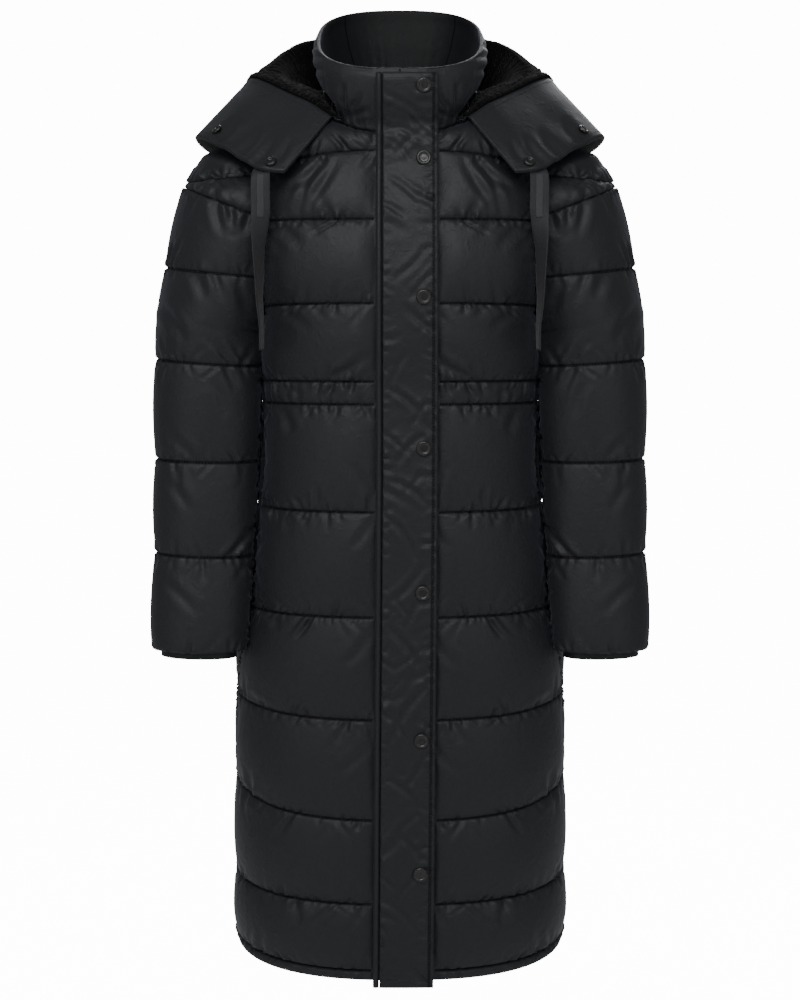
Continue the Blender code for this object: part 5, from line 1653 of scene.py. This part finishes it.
def sherpa(name, color):
    """Soft, dull sherpa with painted light and shade: lighter on its tufts, darker between its fibres.
    """
    made, tree, shader, place = new_material(name, color, 0.95, sheen=0.10, specular=0.10)
    pile = add_node(tree, "ShaderNodeGroup", node_tree=shared_group("Sherpa pile", pile_group))
    shade = add_node(tree, "ShaderNodeMapRange", {"From Max": 0.9})
    # Painted light and shade: a lighter copy of the colour on the tufts and a darker one between them.
    light, painted_dark = ([part * share for part in color] for share in (1.5, 0.35))
    mix = add_node(tree, "ShaderNodeMix", {"A": (*light, 1), "B": (*painted_dark, 1)}, data_type="RGBA")
    join(
        tree,
        (place, "Object", pile, "Place"),
        (pile, "Normal", shader, "Normal"),
        (pile, "Shade", shade, "Value"),
        (shade, "Result", mix, "Factor"),
        (mix, "Result", shader, "Base Color"),
    )
    return made


def webbing(name, color, scale):
    """Ribbed tape: fine diagonal ribs across it."""
    made, tree, shader, place = new_material(name, color, 0.6, sheen=0.15, specular=0.35)
    ribs = add_node(tree, "ShaderNodeTexWave", {"Scale": scale}, bands_direction="DIAGONAL")
    bump = add_node(tree, "ShaderNodeBump", {"Strength": 0.5, "Distance": 0.0003})
    join(
        tree,
        (place, "Object", ribs, "Vector"),
        (ribs, "Fac", bump, "Height"),
        (bump, "Normal", shader, "Normal"),
    )
    return made


def enamel(name, color):
    """Black painted metal with a faint unevenness in its gloss."""
    made, tree, shader, place = new_material(name, color, 0.28, specular=0.6)
    uneven = add_node(tree, "ShaderNodeTexNoise", {"Scale": 300.0})
    gloss = add_node(tree, "ShaderNodeMapRange", {"To Min": 0.22, "To Max": 0.36})
    join(
        tree,
        (place, "Object", uneven, "Vector"),
        (uneven, "Fac", gloss, "Value"),
        (gloss, "Result", shader, "Roughness"),
    )
    return made


NODE_STEP = 220
NODE_DROP = -300
SHEEN_ROUGHNESS = 0.4
WEAVE_SCALE = 420.0
NYLON_GLOSS = 0.32
# Painted shade in the sewn grooves: the specular level there and the share of the colour kept there.
GROOVE_GLOSS = 0.02
GROOVE_SHADE = 0.15
NYLON_COLOR = (0.0150, 0.0163, 0.0188)
SHERPA_COLOR = (0.0030, 0.0031, 0.0034)
TAPE_COLOR = (0.022, 0.023, 0.026)
# Painted highlight: the lighter colour of the tape's raised turned end.
TAPE_STRIP_HIGHLIGHT_COLOR = (0.040, 0.042, 0.046)
SNAP_COLOR = (0.012, 0.012, 0.013)
THREAD_COLOR = (0.016, 0.017, 0.019)
# The slot of each finish, its maker, its colour or the setting that holds it, and its measures.
FINISHES = {
    "Quilted nylon": ("quilted_shell", nylon, "cloth_color", 0.52, 0.30, 85.0),
    "Smooth facing": ("smooth_facing", nylon, "cloth_color", 0.50, 0.28, 60.0),
    "Sherpa": ("sherpa_lining", sherpa, "lining_color"),
    "Drawstring tape": ("drawstring_tape", webbing, TAPE_COLOR, 380.0),
    "Drawstring tape end": ("drawstring_tape", webbing, TAPE_STRIP_HIGHLIGHT_COLOR, 520.0),
    "Snap enamel": ("snap_enamel", enamel, SNAP_COLOR),
    "Thread": ("quilted_shell", webbing, THREAD_COLOR, 900.0),
}


def finish(name):
    """The material of a finish, made once."""
    _, make, color, *measures = FINISHES[name]
    if isinstance(color, str):
        color = getattr(bpy.context.scene.coat_cloth, color)
    return bpy.data.materials.get(name) or make(name, color, *measures)


# ---- settings

CUFF_WAVE = 0.0007
WELT_WAVE = 0.0004
# Mask value of the painted shade along the storm flap's topstitching.
TOPSTITCH_SHADE = 0.8
FLOOR_REACH = 12.0
CAMERA_PLACE = (0.0, -2.80, -0.1605)
CAMERA_TILT_DEG = 6.8226
CAMERA_LENS = 75.76
CAMERA_SENSOR = 36.0


class CoatClothSettings(bpy.types.PropertyGroup):
    """How the cloth lies over its filling, and the colours of cloth and lining."""

    gather: bpy.props.FloatProperty(
        name="Gather", description="Spare cloth along the quilting lines",
        default=0.030, min=0.0, max=0.2, subtype="FACTOR",
    )
    slack: bpy.props.FloatProperty(
        name="Slack", description="Spare cloth between one quilting line and the next",
        default=0.012, min=0.0, max=0.1, subtype="FACTOR",
    )
    filling: bpy.props.FloatProperty(
        name="Filling", description="How firmly the filling holds the cloth out",
        default=0.022, min=0.0, max=0.5, subtype="FACTOR",
    )
    crinkle: bpy.props.FloatProperty(
        name="Crinkle", description="Height of the first unevenness that the folds grow from",
        default=0.0010, min=0.0, max=0.01, subtype="DISTANCE", unit="LENGTH",
    )
    pucker: bpy.props.FloatProperty(
        name="Pucker", description="Depth of the puckers along the seams",
        default=0.0052, min=0.0, max=0.01, subtype="DISTANCE", unit="LENGTH",
    )
    pucker_pitch: bpy.props.FloatProperty(
        name="Pucker pitch", description="Mean distance from one pucker to the next",
        default=0.0095, min=0.002, max=0.1, subtype="DISTANCE", unit="LENGTH",
    )
    cloth_color: bpy.props.FloatVectorProperty(
        name="Cloth colour", description="Colour of the nylon", default=NYLON_COLOR,
        min=0.0, max=1.0, subtype="COLOR",
    )
    lining_color: bpy.props.FloatVectorProperty(
        name="Lining colour", description="Colour of the sherpa", default=SHERPA_COLOR,
        min=0.0, max=1.0, subtype="COLOR",
    )
    rounds: bpy.props.IntProperty(
        name="Rounds", description="Rounds of settling", default=110, min=1, max=1000
    )


class CoatStageSettings(bpy.types.PropertyGroup):
    """Studio light and floor."""

    key_power: bpy.props.FloatProperty(
        name="Key light", description="Power of the large light above the front",
        default=42.0, unit="POWER",
    )
    side_power: bpy.props.FloatProperty(
        name="Side lights", description="Power of each side light", default=8.0, unit="POWER"
    )
    back_power: bpy.props.FloatProperty(
        name="Back light", description="Power of the light behind the coat",
        default=36.0, unit="POWER",
    )
    world_light: bpy.props.FloatProperty(
        name="Surroundings", description="Light from the white surroundings", default=0.20
    )
    backdrop: bpy.props.FloatProperty(
        name="Backdrop", description="Brightness of the white backdrop behind the coat",
        default=14.0,
    )
    floor_z: bpy.props.FloatProperty(
        name="Floor height", description="Height of the floor below the neck seam",
        default=-1.5, subtype="DISTANCE", unit="LENGTH",
    )


# ---- operators

SIDES = (("right", False), ("left", True))
SEAMS = []


def keep_seams(cloth, outs, rows, mirror=False):
    """Remembers seams of a piece, so that the stitches can follow them."""
    for row in rows:
        points, out = cloth[row], outs[row]
        SEAMS.append((mirrored(points), mirrored(out)) if mirror else (points, out))


class COAT_OT_fronts(bpy.types.Operator):
    """Make both quilted fronts"""

    bl_idname = "coat.fronts"
    bl_label = "Fronts"

    def execute(self, context):
        settings = context.scene.coat_cloth
        for name, flap_x, cells, mirror in (
            ("front_right", FLAP_RIGHT_X, RIGHT_CELLS, False),
            ("front_left", FLAP_LEFT_X, LEFT_CELLS, True),
        ):
            base, outs, lofts, lines = body_panel(True, flap_x, cells)
            held = slice(0, cells[0] + 1)
            outer, inner, groove_and_painted_shade = finish_panel(
                base, outs, lofts, lines, held, 3, settings, FRONT_FOLDS
            )
            seen = slice(cells[0] - 2, None)
            keep_seams(outer[:, seen], outs[:, seen], lines[1:-2], mirror)
            if mirror:
                outer, inner = mirrored(outer), mirrored(inner)
            piece = put_wall("Quilted " + name, outer, inner, 4, "Quilted nylon", mirror, groove_and_painted_shade)
            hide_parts(name)
        return {"FINISHED"}


class COAT_OT_back(bpy.types.Operator):
    """Make the quilted back"""

    bl_idname = "coat.back"
    bl_label = "Back"

    def execute(self, context):
        settings = context.scene.coat_cloth
        base, outs, lofts, lines = body_panel(False, 0.0, BACK_CELLS)
        base = np.concatenate([base[:, :0:-1], mirrored(base)], axis=1)
        outs = np.concatenate([outs[:, :0:-1], mirrored(outs)], axis=1)
        lofts = np.concatenate([lofts[:, :0:-1], lofts], axis=1)
        folds = BACK_FOLDS + [
            (-x0 + 12, z0 - 6, -x1 - 8, z1 + 4, wide, deep * 0.9, -bow)
            for x0, z0, x1, z1, wide, deep, bow in BACK_FOLDS
        ]
        outer, inner, groove_and_painted_shade = finish_panel(base, outs, lofts, lines, [], 4, settings, folds)
        keep_seams(outer, outs, lines[1:-2])
        piece = put_wall("Quilted back", outer, inner, 4, "Quilted nylon", seam=groove_and_painted_shade)
        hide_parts("back")
        return {"FINISHED"}


class COAT_OT_sleeves(bpy.types.Operator):
    """Make both quilted sleeves"""

    bl_idname = "coat.sleeves"
    bl_label = "Sleeves"

    def execute(self, context):
        settings = context.scene.coat_cloth
        base, outs, lofts, lines = sleeve_grid()
        middle = base.shape[1] // 2
        outer, inner, groove_and_painted_shade = finish_panel(base, outs, lofts, lines, [], 5, settings, [])
        column = np.arange(middle + 1)
        weight = np.ones((len(outer), 1)) * np.clip(np.minimum(column, column[::-1]) / 4, 0, 1)
        weight[lines] = 0
        halves = []
        for half, folds in (
            (slice(0, middle + 1), SLEEVE_FRONT_FOLDS), (slice(middle, None), SLEEVE_BACK_FOLDS)
        ):
            flat = base[:, half][..., [0, 2]]
            halves.append(creased(outer[:, half], outs[:, half] * weight[..., None], flat, folds))
        outer = np.concatenate([halves[0], halves[1][:, 1:]], axis=1)
        for side, mirror in SIDES:
            keep_seams(outer, outs, lines[1:-1], mirror)
            far, near = (mirrored(outer), mirrored(inner)) if mirror else (outer, inner)
            piece = put_wall(
                f"Quilted sleeve_{side}", far, near, 4, "Quilted nylon", not mirror, groove_and_painted_shade
            )
            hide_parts(f"sleeve_{side}")
        return {"FINISHED"}


class COAT_OT_cuffs(bpy.types.Operator):
    """Make the storm cuffs inside the sleeve hems"""

    bl_idname = "coat.cuffs"
    bl_label = "Storm cuffs"

    def execute(self, context):
        rings = cuff_rings()
        wave = noise_field(*rings.shape[:2], (7, 13), 8) * CUFF_WAVE
        wave[0] = wave[-1] = 0
        centre = rings.mean(axis=1, keepdims=True)
        rings = rings + unit((rings - centre) * np.array([1, 1, 0])) * wave[..., None]
        for side, mirror in SIDES:
            points = mirrored(rings) if mirror else rings
            piece = put(
                f"Storm cuff {side}", points, looped(rings), "Smooth facing", flip=not mirror
            )
            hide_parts(f"storm_cuff_{side}")
        return {"FINISHED"}


class COAT_OT_collar(bpy.types.Operator):
    """Make the padded stand collar"""

    bl_idname = "coat.collar"
    bl_label = "Collar"

    def execute(self, context):
        rings, groove_and_painted_shade = collar_cloth(collar_rings())
        piece = put("Padded collar", rings, turned(rings), "Quilted nylon", seam=groove_and_painted_shade)
        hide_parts("collar")
        return {"FINISHED"}


class COAT_OT_closing(bpy.types.Operator):
    """Make the storm flap, its welt and its snap caps"""

    bl_idname = "coat.closing"
    bl_label = "Front closing"

    def execute(self, context):
        settings = context.scene.coat_cloth
        outer, inner = flap_cloth(settings, FLAP_FOLDS)
        # Painted shade along the flap's topstitching.
        groove_and_painted_shade = np.zeros(outer.shape[:2])
        groove_and_painted_shade[:, -3] = TOPSTITCH_SHADE
        flap = put_wall("Storm flap", outer, inner, 4, "Quilted nylon", seam=groove_and_painted_shade)
        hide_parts("storm_flap")
        forward = forwards(outer)
        SEAMS.append((outer[:, -3], forward[:, -3]))
        keep_seams(outer[:, :-2], forward[:, :-2], (2, -4))
        base = front_strip(WELT_EDGES_X, WELT_COLUMNS, flap_heights())
        forward = forwards(base)
        share = np.linspace(-1, 1, base.shape[1])[None, :, None]
        raised = WELT_NEAR + (WELT_FAR - WELT_NEAR) * (0.45 + 0.55 * (1 - share**2))
        wave = noise_field(*base.shape[:2], (5, 11), 12)[..., None] * WELT_WAVE
        outer = base + forward * (raised + wave)
        inner = base + forward * WELT_NEAR
        welt = put_wall("Flap welt", outer, inner, 4, "Quilted nylon")
        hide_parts("flap_welt")
        for number, z in enumerate(SNAP_HEIGHTS, start=1):
            rings = disc_rings(*snap_place(z), SNAP_PROFILE)
            cap = put(f"Snap cap {number}", rings, turned(rings), "Snap enamel")
            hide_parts(f"flap_snap_{number}")
        return {"FINISHED"}


class COAT_OT_hood(bpy.types.Operator):
    """Make the opened hood: outer cloth, sherpa lining, smooth facing and snap sockets"""

    bl_idname = "coat.hood"
    bl_label = "Hood"

    def execute(self, context):
        grid, up, _ = hood_layer(SHELL_U_CELLS, SHELL_V_CELLS, slice(0, None))
        far = grid + up * HOOD_SHELL_WALL
        shell = put_wall("Hood outer cloth", far, grid, 2, "Quilted nylon")
        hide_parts("hood_shell")
        under, over = lining_points()
        lining = put_wall("Hood sherpa lining", over, under, 4, "Sherpa")
        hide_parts("hood_lining")
        grid, up, u_at = hood_layer(SHELL_U_CELLS, SHELL_V_CELLS[12:], FACING_ROWS)
        v_at = between(np.array(HOOD_V[FACING_ROWS]), places(SHELL_V_CELLS[12:]))
        far, near = grid + up * FACING_FAR, grid + up * LINING_NEAR
        facing = put_wall("Hood facing", far, near, 2, "Smooth facing")
        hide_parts("hood_facing")
        keep_seams(far, up, (2, -3))
        for number, (u, v) in enumerate(SOCKETS, start=1):
            row = int(np.argmin(np.abs(v_at - v)))
            column = int(np.argmin(np.abs(u_at - u)))
            out = up[row, column]
            centre = far[row, column] + out * SEAM_GAP * 2
            for side, flip in (("right", 1.0), ("left", -1.0)):
                turn = np.array([flip, 1.0, 1.0])
                rings = disc_rings(centre * turn, out * turn, SOCKET_PROFILE)
                socket = put(f"Snap socket {side} {number}", rings, turned(rings), "Snap enamel")
                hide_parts(f"hood_snap_{side}_{number}")
        return {"FINISHED"}


class COAT_OT_tapes(bpy.types.Operator):
    """Make both hanging drawstring tapes"""

    bl_idname = "coat.tapes"
    bl_label = "Drawstring tapes"

    def execute(self, context):
        centres, across, thick = tape_line()
        turn_in = (centres[:, 2] < TAPE_STRIP[0]) & (centres[:, 2] > TAPE_STRIP[1])
        out = thick[turn_in] * np.sign(-thick[turn_in][:, 1:2])
        strip_centres = centres[turn_in] + out * (TAPE_THICK / 2 + TAPE_STRIP_OUT)
        for side, mirror in SIDES:
            rings = ribbon(centres, across, thick, TAPE_WIDTH, TAPE_THICK)
            strip = ribbon(
                strip_centres, across[turn_in], thick[turn_in], TAPE_STRIP_WIDTH,
                TAPE_STRIP_THICK,
            )
            path = centres[:: TAPE_CELLS // 2]
            if mirror:
                rings, strip, path = mirrored(rings), mirrored(strip), mirrored(path)
            tape = put(
                f"Drawstring tape {side}", rings, turned(rings), "Drawstring tape", flip=mirror
            )
            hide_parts(f"tape_{side}")
            # The raised turned end is real; its lighter colour is a painted highlight.
            end = put(
                f"Drawstring tape turned end {side}", strip, turned(strip),
                "Drawstring tape end", flip=mirror,
            )
        return {"FINISHED"}


class COAT_OT_pockets(bpy.types.Operator):
    """Make the lips of both side-seam pockets"""

    bl_idname = "coat.pockets"
    bl_label = "Pocket lips"

    def execute(self, context):
        inner, outer = pocket_lip()
        for side, mirror in SIDES:
            far, near = (mirrored(outer), mirrored(inner)) if mirror else (outer, inner)
            lip = put_wall(f"Pocket lip {side}", far, near, 4, "Quilted nylon", not mirror)
            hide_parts(f"pocket_welt_{side}")
        return {"FINISHED"}


class COAT_OT_stitches(bpy.types.Operator):
    """Make the stitches along the quilting lines, hems and edges"""

    bl_idname = "coat.stitches"
    bl_label = "Stitches"

    def execute(self, context):
        points, faces = stitches(SEAMS)
        put("Stitches", points, faces, "Thread")
        return {"FINISHED"}


class COAT_OT_stage(bpy.types.Operator):
    """Make the plain floor, the soft lights and the camera"""

    bl_idname = "coat.stage"
    bl_label = "Stage"

    def execute(self, context):
        settings = context.scene.coat_stage
        mesh = bpy.data.meshes.new("Floor")
        reach = FLOOR_REACH
        corners = [(-reach, -reach), (reach, -reach), (reach, reach), (-reach, reach)]
        mesh.from_pydata([(x, y, settings.floor_z) for x, y in corners], [], [(0, 1, 2, 3)])
        pale, tree, shader, _ = new_material("Studio floor", (0.9, 0.9, 0.9), 0.9, specular=0.1)
        fill(shader, {"Emission Color": (1.0, 1.0, 1.0, 1)})
        seen = add_node(tree, "ShaderNodeLightPath")
        glow = add_node(tree, "ShaderNodeMath", {1: settings.backdrop}, operation="MULTIPLY")
        join(tree, (seen, "Is Camera Ray", glow, 0), (glow, 0, shader, "Emission Strength"))
        mesh.materials.append(pale)
        floor = bpy.data.objects.new("Floor", mesh)
        context.scene.collection.objects.link(floor)
        world = bpy.data.worlds.new("Studio white")
        world.use_nodes = True
        tree = world.node_tree
        background = tree.nodes["Background"]
        fill(background, {"Color": (1.0, 1.0, 1.0, 1)})
        seen = add_node(tree, "ShaderNodeLightPath")
        levels = {"To Min": settings.world_light, "To Max": settings.backdrop}
        bright = add_node(tree, "ShaderNodeMapRange", levels)
        join(
            tree,
            (seen, "Is Camera Ray", bright, "Value"),
            (bright, "Result", background, "Strength"),
        )
        context.scene.world = world
        for name, place, target, size, power in (
            ("Key light", (-0.3, -2.2, 1.5), (0, 0, -0.35), (2.0, 1.2), settings.key_power),
            ("Right light", (-1.5, -2.0, 0.1), (0, 0, -0.4), (1.4, 2.2), settings.side_power),
            ("Left light", (1.5, -2.0, 0.1), (0, 0, -0.4), (1.4, 2.2), settings.side_power),
            ("Back light", (0.4, 2.4, 1.4), (0, 0, -0.35), (2.0, 1.4), settings.back_power),
        ):
            light = bpy.data.lights.new(name, "AREA")
            light.shape = "RECTANGLE"
            light.size, light.size_y = size
            light.energy = power
            lamp = bpy.data.objects.new(name, light)
            lamp.location = place
            aim = Vector(target) - Vector(place)
            lamp.rotation_euler = aim.to_track_quat("-Z", "Y").to_euler()
            context.scene.collection.objects.link(lamp)
        lens = bpy.data.cameras.new("Camera")
        lens.lens = CAMERA_LENS
        lens.sensor_width = CAMERA_SENSOR
        camera = bpy.data.objects.new("Camera", lens)
        camera.location = CAMERA_PLACE
        camera.rotation_euler = (math.radians(90 - CAMERA_TILT_DEG), 0, 0)
        context.scene.collection.objects.link(camera)
        context.scene.camera = camera
        return {"FINISHED"}


class COAT_PT_panel(bpy.types.Panel):
    """Buttons and settings of the coat"""

    bl_idname = "COAT_PT_panel"
    bl_label = "Long puffer coat"
    bl_space_type = "VIEW_3D"
    bl_region_type = "UI"
    bl_category = "Coat"

    def draw(self, context):
        """Lists the settings, then a button for each operator."""
        layout = self.layout
        for owner in (context.scene.coat_cloth, context.scene.coat_stage):
            box = layout.box()
            for name in owner.bl_rna.properties.keys():
                if name not in {"rna_type", "name"}:
                    box.prop(owner, name)
        for operator in OPERATORS:
            layout.operator(operator.bl_idname)


OPERATORS = (
    COAT_OT_fronts,
    COAT_OT_back,
    COAT_OT_sleeves,
    COAT_OT_cuffs,
    COAT_OT_collar,
    COAT_OT_closing,
    COAT_OT_hood,
    COAT_OT_tapes,
    COAT_OT_pockets,
    COAT_OT_stitches,
    COAT_OT_stage,
)
CLASSES = (CoatClothSettings, CoatStageSettings) + OPERATORS + (COAT_PT_panel,)


def register():
    """Adds the coat's classes and settings to Blender."""
    for made in CLASSES:
        bpy.utils.register_class(made)
    bpy.types.Scene.coat_cloth = bpy.props.PointerProperty(type=CoatClothSettings)
    bpy.types.Scene.coat_stage = bpy.props.PointerProperty(type=CoatStageSettings)


def unregister():
    """Takes the coat's classes and settings out of Blender."""
    del bpy.types.Scene.coat_stage
    del bpy.types.Scene.coat_cloth
    for made in reversed(CLASSES):
        bpy.utils.unregister_class(made)


def main():
    """Makes every piece and the stage."""
    register()
    bpy.ops.coat.fronts()
    bpy.ops.coat.back()
    bpy.ops.coat.sleeves()
    bpy.ops.coat.cuffs()
    bpy.ops.coat.collar()
    bpy.ops.coat.closing()
    bpy.ops.coat.hood()
    bpy.ops.coat.tapes()
    bpy.ops.coat.pockets()
    bpy.ops.coat.stitches()
    bpy.ops.coat.stage()


if __name__ == "__main__":
    main()
